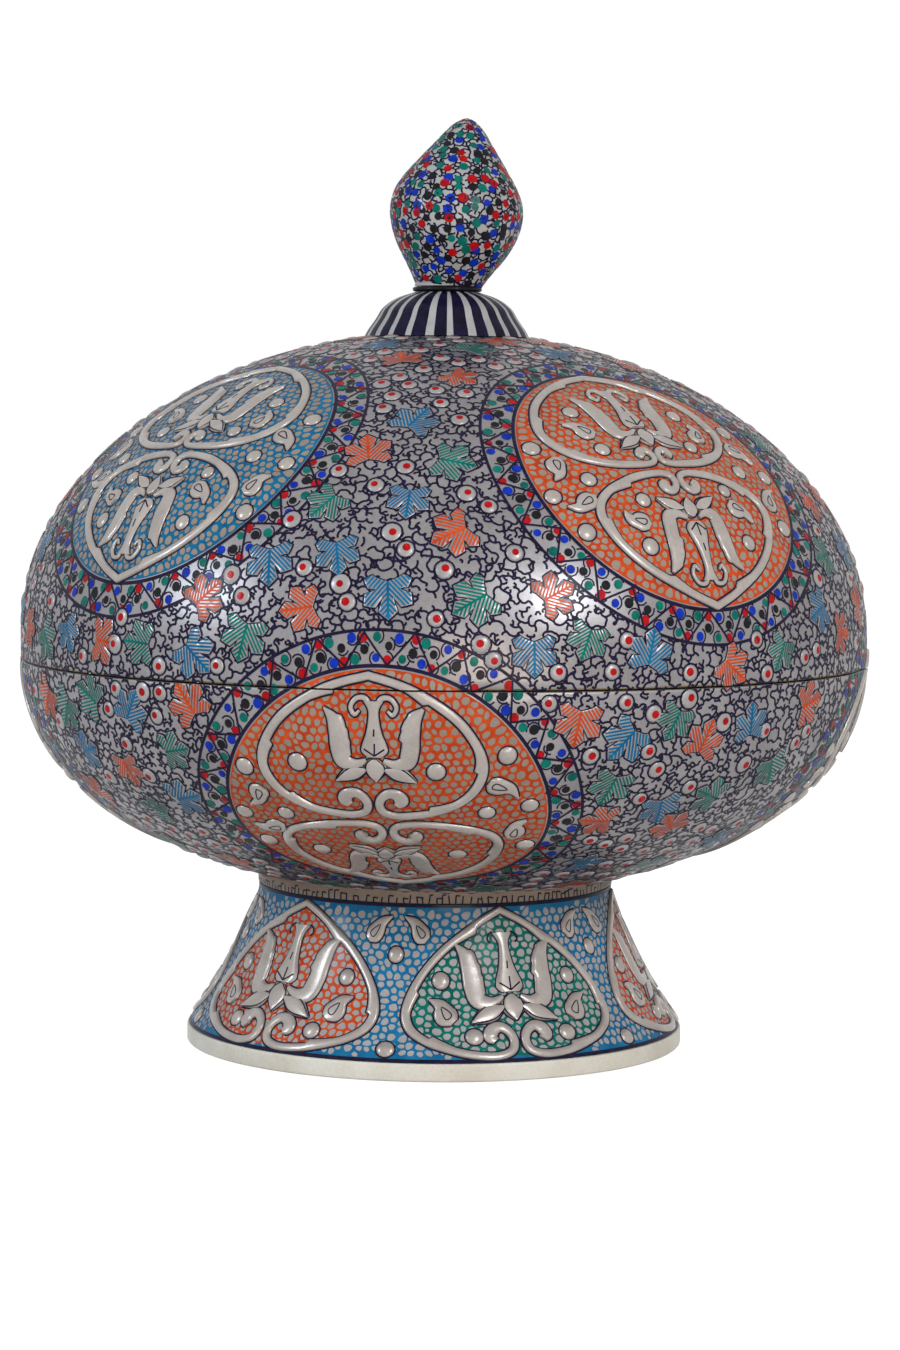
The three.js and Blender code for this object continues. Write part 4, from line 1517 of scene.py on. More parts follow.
@dataclass(frozen=True)
class Medallion:
    """A round medallion: a border ring, a pebbled field and two heart-shaped frames, each with a flower."""

    name: str
    azimuth: float  # its compass point's, in degrees
    climb: float  # how far along the skin its compass point is from the widest level
    field_layer: Layer
    upper: tuple[float, float, float, float]  # the upper flower's place, span and rise
    lower: tuple[float, float, float, float]
    full: bool = True  # whether its frames hold drops and small pearls too

    PEBBLE_PITCH = 3.1
    DROP_WIDTH = 6.8
    FIELD_INSET, FIELD_STEPS = 1.0, 120
    UPPER_FRAME = HeartFrame(36.5, 50.0, 0.5, aside=-3.2, round=True)
    LOWER_FRAME = HeartFrame(35.2, 48.6, -3.7, flip=-1)
    # The size of the volutes on the lid as a share of those on the bowl
    CURLS = {"upper": 0.62, "lower": 0.74}

    # The pearls' places and radii, and the hooked drops' heads, tails and turns
    SIDE_PEARLS = (
        (41.5, 21.5, 3.1), (33, -0.4, 2.8), (47, 0, 2.9), (43.8, -22, 3.1),
        (-46.3, 14.2, 3.1), (-33.6, -3.2, 2.8), (-48.6, -7.2, 2.9), (-42.5, -22.5, 3.1),
    )
    SIDE_DROPS = (
        (37.2, 10.8, 43.6, 5.0, 1.4), (41, -12.6, 45.4, -6.6, 1.4), (-42, 4.8, -45.4, -1.4, 1.4),
        (-38, -11.6, -45.6, -12.2, 1.4),
    )
    SPARE_PEARLS = ((-27.5, 20.2, 3.2), (18.2, 18.8, 3.1), (-24.2, -23.2, 3.0), (21.3, -24.2, 3.0))
    FULL_PEARLS = (
        (-22.8, 29, 2.9), (-22, 8.8, 2.8), (20.3, 26.7, 2.8), (15.9, 9.2, 2.6), (-17.5, -14, 2.7),
        (-21.6, -31, 3.0), (19.4, -10.4, 2.5), (21.2, -30.5, 2.8),
    )
    FULL_DROPS = (
        (-23.8, 17.6, -30.2, 22.4, -1.4), (22.6, 15.2, 22.6, 21.4, -1.4), (-21.8, -22, -26.8, -17.6, 1.4),
        (20.6, -17.6, 26.4, -22.8, 1.4),
    )

    def height(self, body: Body) -> float:
        """Gives the height of the compass point."""
        return body.skin.height(body.skin.climb_at(body.form.widest) + self.climb)

    def centre(self, body: Body) -> Array:
        """Gives the compass point."""
        return body.form.centre(math.radians(self.azimuth), self.height(body))

    def build(self, body: Body, coat: Coat, seed: int) -> None:
        """Draws the medallion and makes its frames' pieces.

        Args:
            body: The bowl and lid.
            coat: Where its painted layers go.
            seed: The seed of the hand's unevenness.
        """
        rng = Random(seed)
        panel = Panel(body.form.compass(math.radians(self.azimuth), self.height(body)))
        ring = BorderRing()
        ring.draw(panel, rng)
        field_radius = ring.inner - self.FIELD_INSET
        outline = circle(field_radius, self.FIELD_STEPS)
        panel.sheets[self.field_layer].field(outline, LIFTS.field, FIELD_SQUARE)
        pebble_disc(field_radius, self.PEBBLE_PITCH, panel, rng)
        for spot in (*self.SIDE_PEARLS, *(self.FULL_PEARLS if self.full else self.SPARE_PEARLS)):
            panel.bead(*spot)
        for *ends, turn in (*self.SIDE_DROPS, *(self.FULL_DROPS if self.full else ())):
            panel.drop(ends, self.DROP_WIDTH, turn)
        for flip, flower in ((1, self.upper), (-1, self.lower)):
            Lotus(*flower, flip).draw(panel)
        for label, drawing in (("upper", self.UPPER_FRAME), ("lower", self.LOWER_FRAME)):
            curl = self.CURLS[label] if self.full else 1.0
            self._frame_piece(body, panel, replace(drawing, curl=curl), label)
        panel.settle(coat)

    def _frame_piece(self, body: Body, panel: Panel, drawing: HeartFrame, label: str) -> None:
        """Makes a frame's piece, or two where the seam cuts it, and inks its outline on the panel.

        Args:
            body: The bowl and lid.
            panel: The medallion's drawing.
            drawing: The frame.
            label: Which of the two it is.
        """
        bm = panel.scroll(drawing)
        if self.name.startswith("lid"):
            add_piece(f"{self.name}_{label}_scroll", bm, GESSO, "lid", f"{self.name}_{label}_frame")
            return
        lower = half_above(bm, body.bowl_rim[1], -1, True)
        add_piece(f"{self.name}_{label}_scroll", lower, GESSO, "bowl", f"{self.name}_{label}_frame")
        if label == "upper":
            upper = half_above(bm, body.lid_rim[0], 1, True)
            add_piece(f"{self.name}_scroll_tip", upper, GESSO, "lid", f"{self.name}_tip_on_lid")
        bm.free()


# The painted ground


def scatter(
    skin: TurnedSkin, low: float, high: float, pitch: float, jitter: float, rng: Random,
) -> Array:
    """Places seeds in staggered rows round a turned skin.

    Args:
        skin: The skin.
        low: The first row's climb.
        high: The last row's climb.
        pitch: How far apart the seeds are.
        jitter: How far a seed strays, as a share of the pitch.
        rng: The source of the straying.

    Returns:
        The seeds' azimuths and climbs.
    """
    rows = max(round((high - low) / (pitch * ROW_SHARE)), 1)
    seeds = []
    for row in range(rows + 1):
        climb = low + (high - low) * row / rows
        count = max(round(FULL_TURN * skin.radius(climb) / pitch), 3)
        for place in range(count):
            azimuth = (place + row % 2 / 2 + rng.uniform(-jitter, jitter)) / count * FULL_TURN - math.pi
            seeds.append((azimuth, climb + rng.uniform(-jitter, jitter) * pitch))
    return np.array(seeds)


def web_round(seeds: Array, skin: TurnedSkin, margin: float = 0.6) -> Web:
    """Finds the cells of seeds that go all the way round a skin.

    Args:
        seeds: The seeds' azimuths and climbs.
        skin: The skin.
        margin: How far past the back seeds are repeated.

    Returns:
        The cells.
    """
    after = seeds[seeds[:, 0] < margin - math.pi] + (FULL_TURN, 0)
    before = seeds[seeds[:, 0] > math.pi - margin] - (FULL_TURN, 0)
    places = np.vstack([seeds, after, before])
    return Web(places, np.stack([places[:, 0], skin.chart(places[:, 1])], axis=1))


# The shortest and the longest line, how many fall short, how far those and the others reach
LINE_LENGTHS = (0.6, 6)
SHORT_SHARE, SHORT_REACH, LONG_REACH = 0.15, 0.6, 1.05
# How far a line bows, as shares of its length, and how much of that each of its points takes
BOW_SHARES, BOWED_SHARES = (0.1, 0.4), (0, 0.85, 0.85, 0)
# How many lines have a hook, and how far a hook's points go out, and along as shares of the line
HOOKED_SHARE, HOOK_OUT, HOOK_SHARES = 0.3, (0, 0.9, 1.7, 1.9), (0, 0.05, 0.25, 0.8)


def broken_lines(web: Web, skin: TurnedSkin, kept: float, rng: Generator) -> tuple[Array, Array]:
    """Gives the curving, broken lines that a brush draws along the borders of cells, with hooks off them.

    Args:
        web: The cells.
        skin: The skin that they lie on.
        kept: The share of borders that are drawn.
        rng: The source of the unevenness.

    Returns:
        The lines, of four points each, and how many millimetres one unit across is on each.
    """
    ends = web.middles[web.borders()]
    ends = ends[(np.abs(ends[:, :, 0].mean(axis=1)) <= math.pi) & (rng.random(len(ends)) < kept)]
    spread = skin.radius(ends[:, :, 1].mean(axis=1))
    run = (ends[:, 1] - ends[:, 0]) * np.stack([spread, np.ones(len(ends))], axis=1)
    length = np.linalg.norm(run, axis=1)
    fair = (length > LINE_LENGTHS[0]) & (length < LINE_LENGTHS[1])
    ends, spread, run, length = ends[fair], spread[fair], run[fair], length[fair]
    across = np.stack([run[:, 1] / spread, -run[:, 0]], axis=1) / length[:, None]
    reach = np.where(rng.random(len(ends)) < SHORT_SHARE, SHORT_REACH, LONG_REACH)
    bow = rng.choice((-1, 1), len(ends)) * rng.uniform(*BOW_SHARES, len(ends)) * length
    stray = bow[:, None] * BOWED_SHARES
    lines = ends[:, :1] + (ends[:, 1:] - ends[:, :1]) * (reach[:, None] * np.linspace(0, 1, 4))[..., None]
    lines += across[:, None] * stray[..., None]
    hooked = rng.random(len(lines)) < HOOKED_SHARE
    out = rng.choice((-1, 1), (hooked.sum(), 1)) * np.array(HOOK_OUT)
    curl = rng.choice((-1, 1), (hooked.sum(), 1)) * np.array(HOOK_SHARES) / length[hooked, None]
    hooks = lines[hooked, 1:2] + across[hooked, None] * out[..., None]
    hooks += (ends[hooked, 1:] - ends[hooked, :1]) * curl[..., None]
    return np.vstack([lines, hooks]), np.concatenate([spread, spread[hooked]])


class LeafPattern:
    """The plane-tree leaf stamped on the ground: a raised shape, an ink ring round it that is painted shade,
    and painted strokes.
    """

    # Each lobe's heading in degrees, and its length as a share of the leaf's
    LOBE_SHARES = ((-20, 0.84), (36, 1.0), (90, 1.1), (144, 1.0), (200, 0.84))
    # One side of a lobe from its notch on: along and across as shares of its length
    SIDE_SHARES = ((0.56, 0.23), (0.74, 0.29), (0.86, 0.17))
    NOTCH_SHARE = 0.4
    BASE_NOTCH_SHARE = 0.2
    # The plaster's rise, its bevel's width and rise, and its squares
    RISE, BEVEL, BEVEL_RISE, SQUARE = 0.25, 0.3, 0.15, 3.0
    # The ink ring round the leaf's foot, which is painted shade: its size as a share of the outline, and its
    # width
    EDGE_SHARE, EDGE_INK = 1.04, 0.6
    # The strokes' lift, their gap, their slant from the midrib in degrees, and the widths of both
    STROKE_LIFT, STROKE_GAP, SLANT, STROKE_INK, MIDRIB_INK = 0.47, 1.6, 42, 0.6, 0.8
    # What a stroke leaves free at its foot and at its end, and the shortest one
    FOOT_GAP, END_GAP, SHORTEST = 0.1, 0.2, 1.0

    def __init__(self, size: float = 9.0) -> None:
        """Draws the leaf.

        Args:
            size: The leaf's length from its middle.
        """
        self.size = size
        outline = []
        for place, (heading, share) in enumerate(self.LOBE_SHARES):
            last = place == len(self.LOBE_SHARES) - 1
            following = 340 if last else self.LOBE_SHARES[place + 1][0]
            right = [(along, -across) for along, across in self.SIDE_SHARES]
            for along, across in (*right, (1, 0), *reversed(self.SIDE_SHARES)):
                outline.append(self._spot(heading, along * share, across * share))
            depth = self.BASE_NOTCH_SHARE if last else self.NOTCH_SHARE
            outline.append(self._spot((heading + following) / 2, depth, 0))
        self.outline = np.array(outline) * size
        self.plaque = self._plaque()
        self.strokes = self._strokes()
        # A ring of ink just outside the leaf: painted shade where the raised leaf meets the ground
        edge = Sheet()
        edge.line(self.outline * self.EDGE_SHARE, self.EDGE_INK, LIFTS.outline, closed=True)
        self.edge = as_mesh(edge.flat(), "leaf_shade_ring_pattern")

    @staticmethod
    def _spot(heading: float, along: float, across: float) -> Array:
        """Gives a place from the leaf's middle."""
        turn = math.radians(heading)
        ahead, left = np.array([math.cos(turn), math.sin(turn)]), np.array([-math.sin(turn), math.cos(turn)])
        return ahead * along + left * across

    def _plaque(self) -> Mesh:
        """Makes the raised shape.

        Returns:
            The pattern.
        """
        bm = bmesh.new()
        base = bm.faces.new([bm.verts.new((x, y, -LIFTS.sink)) for x, y in self.outline])
        faces = of_kind(bmesh.ops.extrude_face_region(bm, geom=[base])["geom"], BMFace)
        bmesh.ops.translate(bm, verts=faces[0].verts, vec=(0, 0, LIFTS.sink + self.RISE))
        bmesh.ops.recalc_face_normals(bm, faces=bm.faces)
        bmesh.ops.inset_region(
            bm, faces=faces, thickness=self.BEVEL, depth=self.BEVEL_RISE, use_even_offset=False,
        )
        cut_in_squares(bm, self.SQUARE)
        return as_mesh(bm, "leaf_plaque_pattern")

    def _strokes(self) -> Mesh:
        """Makes the painted midrib, and the slanting strokes beside it, cut off at the leaf's edge.

        Returns:
            The pattern.
        """
        sheet = Sheet()
        top = self.LOBE_SHARES[2][1] * self.size
        midrib = in_steps([(0, -self.BASE_NOTCH_SHARE * self.size), (0, top * 0.97)])
        sheet.line(midrib, self.MIDRIB_INK, self.STROKE_LIFT)
        sides = np.roll(self.outline, -1, axis=0) - self.outline
        for side in (-1, 1):
            heading = self._spot(90 - side * self.SLANT, 1, 0)
            for foot in np.arange(-1.6 * self.size, top, self.STROKE_GAP):
                away = self.outline - (0, foot)
                cross = heading[0] * sides[:, 1] - heading[1] * sides[:, 0]
                along = (away[:, 0] * sides[:, 1] - away[:, 1] * sides[:, 0]) / cross
                share = (away[:, 0] * heading[1] - away[:, 1] * heading[0]) / cross
                hits = sorted([hit for hit in along[(share >= 0) & (share < 1)] if hit > 0])
                ends = [0.0, *hits] if len(hits) % 2 else hits
                for near, far in zip(ends[::2], ends[1::2]):
                    if far - near > self.SHORTEST:
                        inside = (near + self.FOOT_GAP, far - self.END_GAP)
                        stroke = in_steps([(0, foot) + heading * reach for reach in inside])
                        sheet.line(stroke, self.STROKE_INK, self.STROKE_LIFT)
        return as_mesh(sheet.flat(), "leaf_stroke_pattern")


@dataclass
class Ground:
    """The ground of the bowl and lid: broken brushwork, leaves and pearls with a red dot."""

    body: Body
    clear_spots: list[Array]
    coat: Coat
    clear_radius: float = 64.6
    cell: float = 4.0
    line: float = 0.76
    leaf_gap: float = 20.5
    pearl_gap: float = 7.0
    pearl_height: float = 0.7
    seed: int = 11
    crown_radius: float = 28.0
    foot_radius: float = 60.0

    # Places round from the front in degrees, and along the skin from the seam
    LEAVES = {
        Layer.ORANGE_LINES: (
            (-12, 83), (2, 53), (13, 30), (-32, 27), (-17, 26), (-49, 12), (-72, 13), (38, 7.5), (63, 15),
            (69, 63), (-33, -8.5), (-64, -8.5), (-48, -31), (-63, -48), (17, -8.5), (35, -20), (54, -8.5),
            (24, -50), (37, -56),
        ),
        Layer.SKY_LINES: (
            (-6, 99), (-5, 66), (-14, 46), (-23, 43), (-7, 33), (11, 14), (-33, 11), (-57, 15), (26, 10),
            (58, 24), (74, 45), (-44, -12), (-57, -28), (-40, -44), (24, -15), (43, -15), (32, -43),
        ),
        Layer.TEAL_LINES: (
            (0, 81), (-16, 64), (4.5, 30), (-25, 18), (18, 18), (-40.5, 12), (-64, 12), (48, 12), (64, 42),
            (70, 87), (-51, -8.5), (-58, -11), (-38, -24), (-47, -53), (30.5, -9), (50, -29), (23, -32),
            (41, -41),
        ),
    }
    PEARLS = (
        (-6, 78), (-16, 76), (-10, 70), (3, 67), (6, 62), (-7, 52), (-21, 56), (-5, 46), (-18, 39), (0, 39),
        (9, 45), (-28, 36), (-13, 34), (-26, 29), (-12, 28), (-1, 23), (4.5, 15), (6, 10), (14, 6), (21, 6),
        (23, 16), (-63, 23), (-45, 20), (-46, 11), (-53, 6), (-38, 5), (-29, 6), (32, 5), (43, 15), (45, 3.5),
        (53, 8), (56, 10), (59, 34), (65, 51), (-46, -4), (-41, -4), (-38, -4), (-39, -12), (-48, -11),
        (-62, -18), (-46, -23), (-54, -38), (-44, -35), (13, -4), (23, -4), (32, -3.5), (27, -8), (19, -22),
        (27, -21), (29, -28), (38, -12), (46, -16), (44, -28), (35.5, -36), (28, -40), (56, -18), (54, -22),
    )
    SEEN_HALF_TURN = 70.0
    SEEN_CLIMBS = (-58.0, 98.0)
    # How far leaves and pearls stay from a medallion's middle, from a leaf and from the ground's ends
    LEAF_CLEARANCE, PEARL_CLEARANCE, PEARL_TO_LEAF = 73, 68, 10.8
    LEAF_MARGIN, PEARL_MARGIN, SEAM_MARGIN = 9, 3, 4
    # How often a place is tried, and how much wider apart places are the first time
    TRIES, LOOSE_SHARE = 9000, 1.12
    SEED_STRAY, DRAWN_SHARE = 0.3, 0.84
    LEAF_SIZES, PEARL_RADII, DOT_RADII = (0.9, 1.08), (2.55, 3.2), (1.15, 1.4)
    # How far a dot strays across and up its pearl
    DOT_STRAY = ((-0.5, 0.5), (-0.2, 0.6))
    # The ring round a pearl: its radius and width as shares of the pearl's radius
    RING_SHARE, RING_INK_SHARE = 1.12, 0.19

    def build(self) -> None:
        """Paints the ground and lays its leaves and pearls."""
        skin = self.body.skin
        rng = Random(self.seed)
        low, high = self._climb_at_radius(self.foot_radius, -1), self._climb_at_radius(self.crown_radius, 1)
        self._brushwork(low, high)
        leaves = [
            (math.radians(turn), climb, tint)
            for tint, places in self.LEAVES.items()
            for turn, climb in places
        ]
        leaf_spots = [skin.spot(turn, climb) for turn, climb, _ in leaves]
        barriers = [(self.clear_spots, self.LEAF_CLEARANCE)]
        least, most = low + self.LEAF_MARGIN, high - self.LEAF_MARGIN
        for turn, climb in self._more_places(least, most, self.leaf_gap, leaf_spots, barriers, rng):
            leaves.append((turn, climb, rng.choice(list(self.LEAVES))))
        self._lay_leaves(leaves, rng)
        pearls = [(math.radians(turn), climb) for turn, climb in self.PEARLS]
        pearl_spots = [skin.spot(turn, climb) for turn, climb in pearls]
        barriers = [(self.clear_spots, self.PEARL_CLEARANCE), (leaf_spots, self.PEARL_TO_LEAF)]
        least, most = low + self.PEARL_MARGIN, high - self.PEARL_MARGIN
        pearls.extend(self._more_places(least, most, self.pearl_gap, pearl_spots, barriers, rng))
        self._lay_pearls(pearls, rng)

    def _climb_at_radius(self, radius: float, side: int) -> float:
        """Gives the climb where the skin has a radius, above the widest level or below it."""
        return self.body.skin.climb_at(self.body.form.height_at(radius, side))

    def _brushwork(self, low: float, high: float) -> None:
        """Paints the broken lines, which stop at the medallions.

        Args:
            low: The lowest climb.
            high: The highest climb.
        """
        skin = self.body.skin
        seeds = scatter(skin, low, high, self.cell, self.SEED_STRAY, Random(self.seed))
        web = web_round(seeds, skin)
        lines, spread = broken_lines(web, skin, self.DRAWN_SHARE, default_rng(self.seed))
        ends = [skin.place(lines[:, place, 0], lines[:, place, 1], 0.0) for place in (0, 3)]
        first, last = (self._clearance(points) for points in ends)
        share = np.clip(np.where(first > last, first, last) / np.maximum(np.abs(first - last), 1e-6), 0, 1)
        cut = (first < 0) != (last < 0)
        anchor = np.where((first > last)[:, None, None], lines[:, :1], lines[:, -1:])
        shorter = anchor + (lines - anchor) * share[:, None, None]
        lines = np.where(cut[:, None, None], shorter, lines)
        keep = (first > 0) | (last > 0)
        sheet = Sheet()
        sheet.strokes(lines[keep], self.line, LIFTS.vermicelli, spread[keep])
        take_in(self.coat[Layer.VERMICELLI], sheet.bent(skin.wrap()))

    def _clearance(self, points: Array) -> Array:
        """Gives how far points are outside the nearest medallion."""
        away = np.linalg.norm(points[:, None] - np.array(self.clear_spots)[None], axis=2)
        return away.min(axis=1) - self.clear_radius

    def _more_places(
        self, low: float, high: float, gap: float, taken: list[Array],
        barriers: Sequence[tuple[Sequence[Array], float]], rng: Random,
    ) -> list[tuple[float, float]]:
        """Finds places for more of the same where none is yet, away from the front.

        Args:
            low: The lowest climb.
            high: The highest climb.
            gap: How far apart they stay.
            taken: The places of those that are there, which grows.
            barriers: Other places, and how far to stay from them.
            rng: The source of the places.

        Returns:
            The new azimuths and climbs.
        """
        found = []
        for least in (gap * self.LOOSE_SHARE, gap):
            for _ in range(self.TRIES):
                turn, climb = rng.uniform(-math.pi, math.pi), rng.uniform(low, high)
                inside = self.SEEN_CLIMBS[0] < climb < self.SEEN_CLIMBS[1]
                seen = inside and abs(math.degrees(turn)) < self.SEEN_HALF_TURN
                if seen or abs(climb) < self.SEAM_MARGIN:
                    continue
                spot = self.body.skin.spot(turn, climb)
                limits = [(taken, least), *barriers]
                room = [np.linalg.norm(spots - spot, axis=1).min() - limit for spots, limit in limits]
                if min(room) > 0:
                    taken.append(spot)
                    found.append((turn, climb))
        return found

    def _lay_leaves(self, leaves: Sequence[tuple[float, float, Layer]], rng: Random) -> None:
        """Stamps the leaves, each turned its own way.

        Args:
            leaves: The leaves' azimuths, climbs and tints.
            rng: The source of their turns.
        """
        pattern = LeafPattern()
        for turn, climb, tint in leaves:
            bend = self._bend_at(turn, climb)
            heading, scale = rng.uniform(0, FULL_TURN), rng.uniform(*self.LEAF_SIZES)
            sine, cosine = math.sin(heading) * scale, math.cos(heading) * scale
            spin = np.array([[cosine, sine], [-sine, cosine]])

            def move(flat: Array) -> Array:
                """Turns the leaf and bends it onto the skin."""
                return bend(np.hstack([flat[:, :2] @ spin, flat[:, 2:3]]))

            stamp(self.coat[Layer.LEAVES], pattern.plaque, move)
            # The leaf's ink ring is painted shade round its foot
            stamp(self.coat[Layer.OUTLINES], pattern.edge, move)
            stamp(self.coat[tint], pattern.strokes, move)

    def _lay_pearls(self, pearls: Pairs, rng: Random) -> None:
        """Stamps the pearls, each with a ring of ink round it and a red dot on it.

        Args:
            pearls: The pearls' azimuths and climbs.
            rng: The source of their sizes.
        """
        sheet = Sheet()
        sheet.line(circle(self.RING_SHARE, 16), self.RING_INK_SHARE, LIFTS.outline, closed=True)
        disc = bmesh.new()
        bmesh.ops.create_circle(disc, cap_ends=True, cap_tris=True, segments=11, radius=1)
        ring, dot = as_mesh(sheet.flat(), "ring_pattern"), as_mesh(disc, "dot_pattern")
        across, up = np.array(DOME_SHARES).T
        for turn, climb in pearls:
            bend = self._bend_at(turn, climb)
            radius = rng.uniform(*self.PEARL_RADII)
            shift = np.array([rng.uniform(*reach) for reach in self.DOT_STRAY])
            dot_radius = rng.uniform(*self.DOT_RADII)
            size = (radius, radius, self.pearl_height)

            def dot_on_pearl(flat: Array) -> Array:
                """Lays the dot on the pearl's curve.

                Args:
                    flat: The dot's points.

                Returns:
                    The points on the skin.
                """
                places = flat[:, :2] * dot_radius + shift
                reach = np.hypot(places[:, 0], places[:, 1]) / radius
                rise = self.pearl_height * np.interp(reach, across, up) + LIFTS.on_top
                return bend(np.column_stack([places, rise]))

            stamp(self.coat[Layer.PEARLS], pearl_pattern(), lambda flat: bend(flat * size))
            stamp(self.coat[Layer.OUTLINES], ring, lambda flat: bend(flat * (radius, radius, 1)))
            stamp(self.coat[Layer.RED_DOTS], dot, dot_on_pearl)

    def _bend_at(self, turn: float, climb: float) -> Bend:
        """Gives the compass bend about a place on the skin."""
        return self.body.form.compass(turn, self.body.skin.height(climb))


def add_body_layers(body: Body, coat: Coat) -> None:
    """Cuts every layer at the seam, and makes the lid's and the bowl's pieces of it.

    Args:
        body: The bowl and lid.
        coat: The layers.
    """
    raised = (Layer.PLASTER, Layer.LEAVES, Layer.PEARLS)
    for layer, bm in coat.items():
        for name, level, side in (("lid", body.lid_rim[0], 1), ("bowl", body.bowl_rim[1], -1)):
            part = half_above(bm, level, side, layer in raised)
            if part.faces:
                add_piece(f"{name}_{layer.label}", part, layer.finish, name)
            else:
                part.free()
        bm.free()


# The foot


@dataclass
class Foot:
    """The flared foot with its hoop, the ring at its neck, and its ornament."""

    body: Body
    neck_radius: float = 63.3
    foot_radius: float = 88.4
    wall: float = 4.0
    hoop_width: float = 7.0
    hoop_edge: float = 0.8
    glue: float = 0.3
    steps: int = 192
    pebble_pitch: float = 3.1
    frame_start: float = 2.1
    frame_end: float = 2.1
    widest_climb: float = 20.0
    seed: int = 5

    # The flare from the neck down: radius as a share of the way out, height as a share of the way down
    FLARE_SHARES = ((0, 0), (0.012, 0.06), (0.052, 0.135), (0.165, 0.27), (0.44, 0.555), (0.72, 0.79), (1, 1))
    # The pebbles' stray, the margins at the hoop and the neck, and how much of its cell a pebble fills
    PEBBLE_STRAY, HOOP_MARGIN, NECK_MARGIN, FILL_SHARES = 0.3, 1.4, 1.2, (0.65, 0.77)
    BAND_WIDTH, BAND_EDGE, BAND_BULGE, BAND_GLUE = 11.3, 0.4, 0.05, 0.12
    NECK_INK, HOOP_INK, COMB_INK, COMB_GAP, COMB_SHARE = 1.0, 1.2, 0.5, 2.3, 0.65
    # A cartouche's flower, and the half width for which its pearls and drops are listed
    FLOWER_PLACE, FLOWER_SHARE, FLOWER_RISE, USUAL_HALF_WIDTH = 20.5, 0.53, 27.5, 36.8
    PEARLS = ((-25, 30, 3.2), (25, 30, 3.0), (-14.5, 9.5, 3.0), (17.5, 9.5, 3.0))
    DROP, DROP_WIDTH, DROP_TURN = (23.5, 17.5, 29, 23), 8.0, 1.2
    GAP_PEARLS, GAP_PEARL_RISE = ((39.0, 3.0), (4.6, 2.9)), 1.0
    GAP_DROP, GAP_DROP_WIDTH, GAP_DROP_TURN, GAP_DROP_RISE = (9.5, 46.5, 2.6, 52.5), 7.0, 1.0, 0.9
    # Each cartouche's azimuth and half width in degrees, teal and orange in turn
    CARTOUCHES = ((20.5, 27.4), (82, 26.8), (140, 24.8), (197.5, 24.8), (254.5, 24.8), (316, 29.1))

    def __post_init__(self) -> None:
        """Builds the flare's skin between the hoop and the neck."""
        low, high = node_box("foot_shell")
        self.centre_x = (low.x + high.x) / 2
        self.bottom, self.top = low.z, high.z
        points = smooth_line([(out * 10, down * 20) for out, down in self.FLARE_SHARES], 30)
        radii = self.neck_radius + (self.foot_radius - self.neck_radius) * points[::-1, 0] / 10
        heights = self.top - (self.top - self.bottom) * points[::-1, 1] / 20
        self.skin = TurnedSkin(radii, heights, self.bottom, self.centre_x)
        self.coat = Coat(bmesh.new)

    def build(self) -> None:
        """Makes the foot's pieces and its ornament."""
        self._shell()
        self._hoop()
        self._neck_band()
        rng = Random(self.seed)
        self._pebbles(rng)
        for number, (azimuth, half_width) in enumerate(self.CARTOUCHES):
            after, half_after = self.CARTOUCHES[(number + 1) % len(self.CARTOUCHES)]
            self._cartouche(number)
            gap = (after - azimuth) % 360
            self._gap(azimuth + gap / 2 + (half_width - half_after) / 2)
        self._ink(rng)
        for layer, bm in self.coat.items():
            add_piece(f"foot_{layer.label}", bm, layer.finish, "bowl")

    def _turned(self, profile: Pairs) -> BMesh:
        """Turns a closed profile about the foot's axis."""
        bm = turn_profile(profile, self.steps, True)
        bmesh.ops.translate(bm, vec=(self.centre_x, 0, 0), verts=bm.verts)
        return bm

    def _shell(self) -> None:
        """Makes the flare, with the socket for its disc."""
        stride = 6
        outer = list(zip(self.skin.radii[::stride].tolist(), self.skin.heights[::stride].tolist()))
        socket = node_levels("foot_top_disc")[0] - self.glue
        inside = self.neck_radius - self.wall
        inner = [(radius - self.wall, height) for radius, height in reversed(outer) if height < socket - 1]
        profile = [*outer, (self.neck_radius, self.top), (inside, self.top), (inside, socket), *inner]
        bm = self._turned(profile)
        for face in bm.faces:
            outward = face.calc_center_median() - Vector((self.centre_x, 0, 0))
            face.normal_update()
            face.material_index = int(face.normal.x * outward.x + face.normal.y * outward.y < 0)
        add_piece("foot_flare", bm, FOOT_SKY, "bowl", "foot_shell", LINING)

    def _hoop(self) -> None:
        """Makes the plain hoop that the foot stands on."""
        low, high = node_box("foot_hoop")
        outer = (high.x - low.x) / 2
        inner = outer - self.hoop_width
        edge = self.hoop_edge
        turns = np.linspace(0, math.pi / 2, 5)
        lower = [(outer - edge * (1 - math.sin(turn)), edge * (1 - math.cos(turn))) for turn in turns]
        upper = [(radius, high.z - height) for radius, height in reversed(lower)]
        bm = self._turned([(inner, 0), *lower, *upper, (inner, high.z)])
        add_piece("cream_hoop", bm, HOOP_CREAM, "bowl", "foot_hoop")

    def _neck_band(self) -> None:
        """Makes the pale ring at the neck, whose top follows the bowl."""
        low, high = node_box("neck_ring")
        outer = (high.x - low.x) / 2
        inner = outer - self.BAND_WIDTH
        edge = self.BAND_EDGE
        profile = [
            (inner, low.z), (outer - edge, low.z), (outer, low.z + edge),
            (outer + self.BAND_BULGE, (low.z + high.z) / 2), (outer, high.z), ((inner + outer) / 2, high.z),
            (inner, high.z),
        ]
        bm = self._turned(profile)
        for vert in bm.verts:
            if vert.co.z > high.z - 0.01:
                vert.co.z = self.body.form.height_at(math.hypot(vert.co.x, vert.co.y), -1) - self.BAND_GLUE
        add_piece("neck_band", bm, PEBBLE_CREAM, "bowl", "neck_ring")

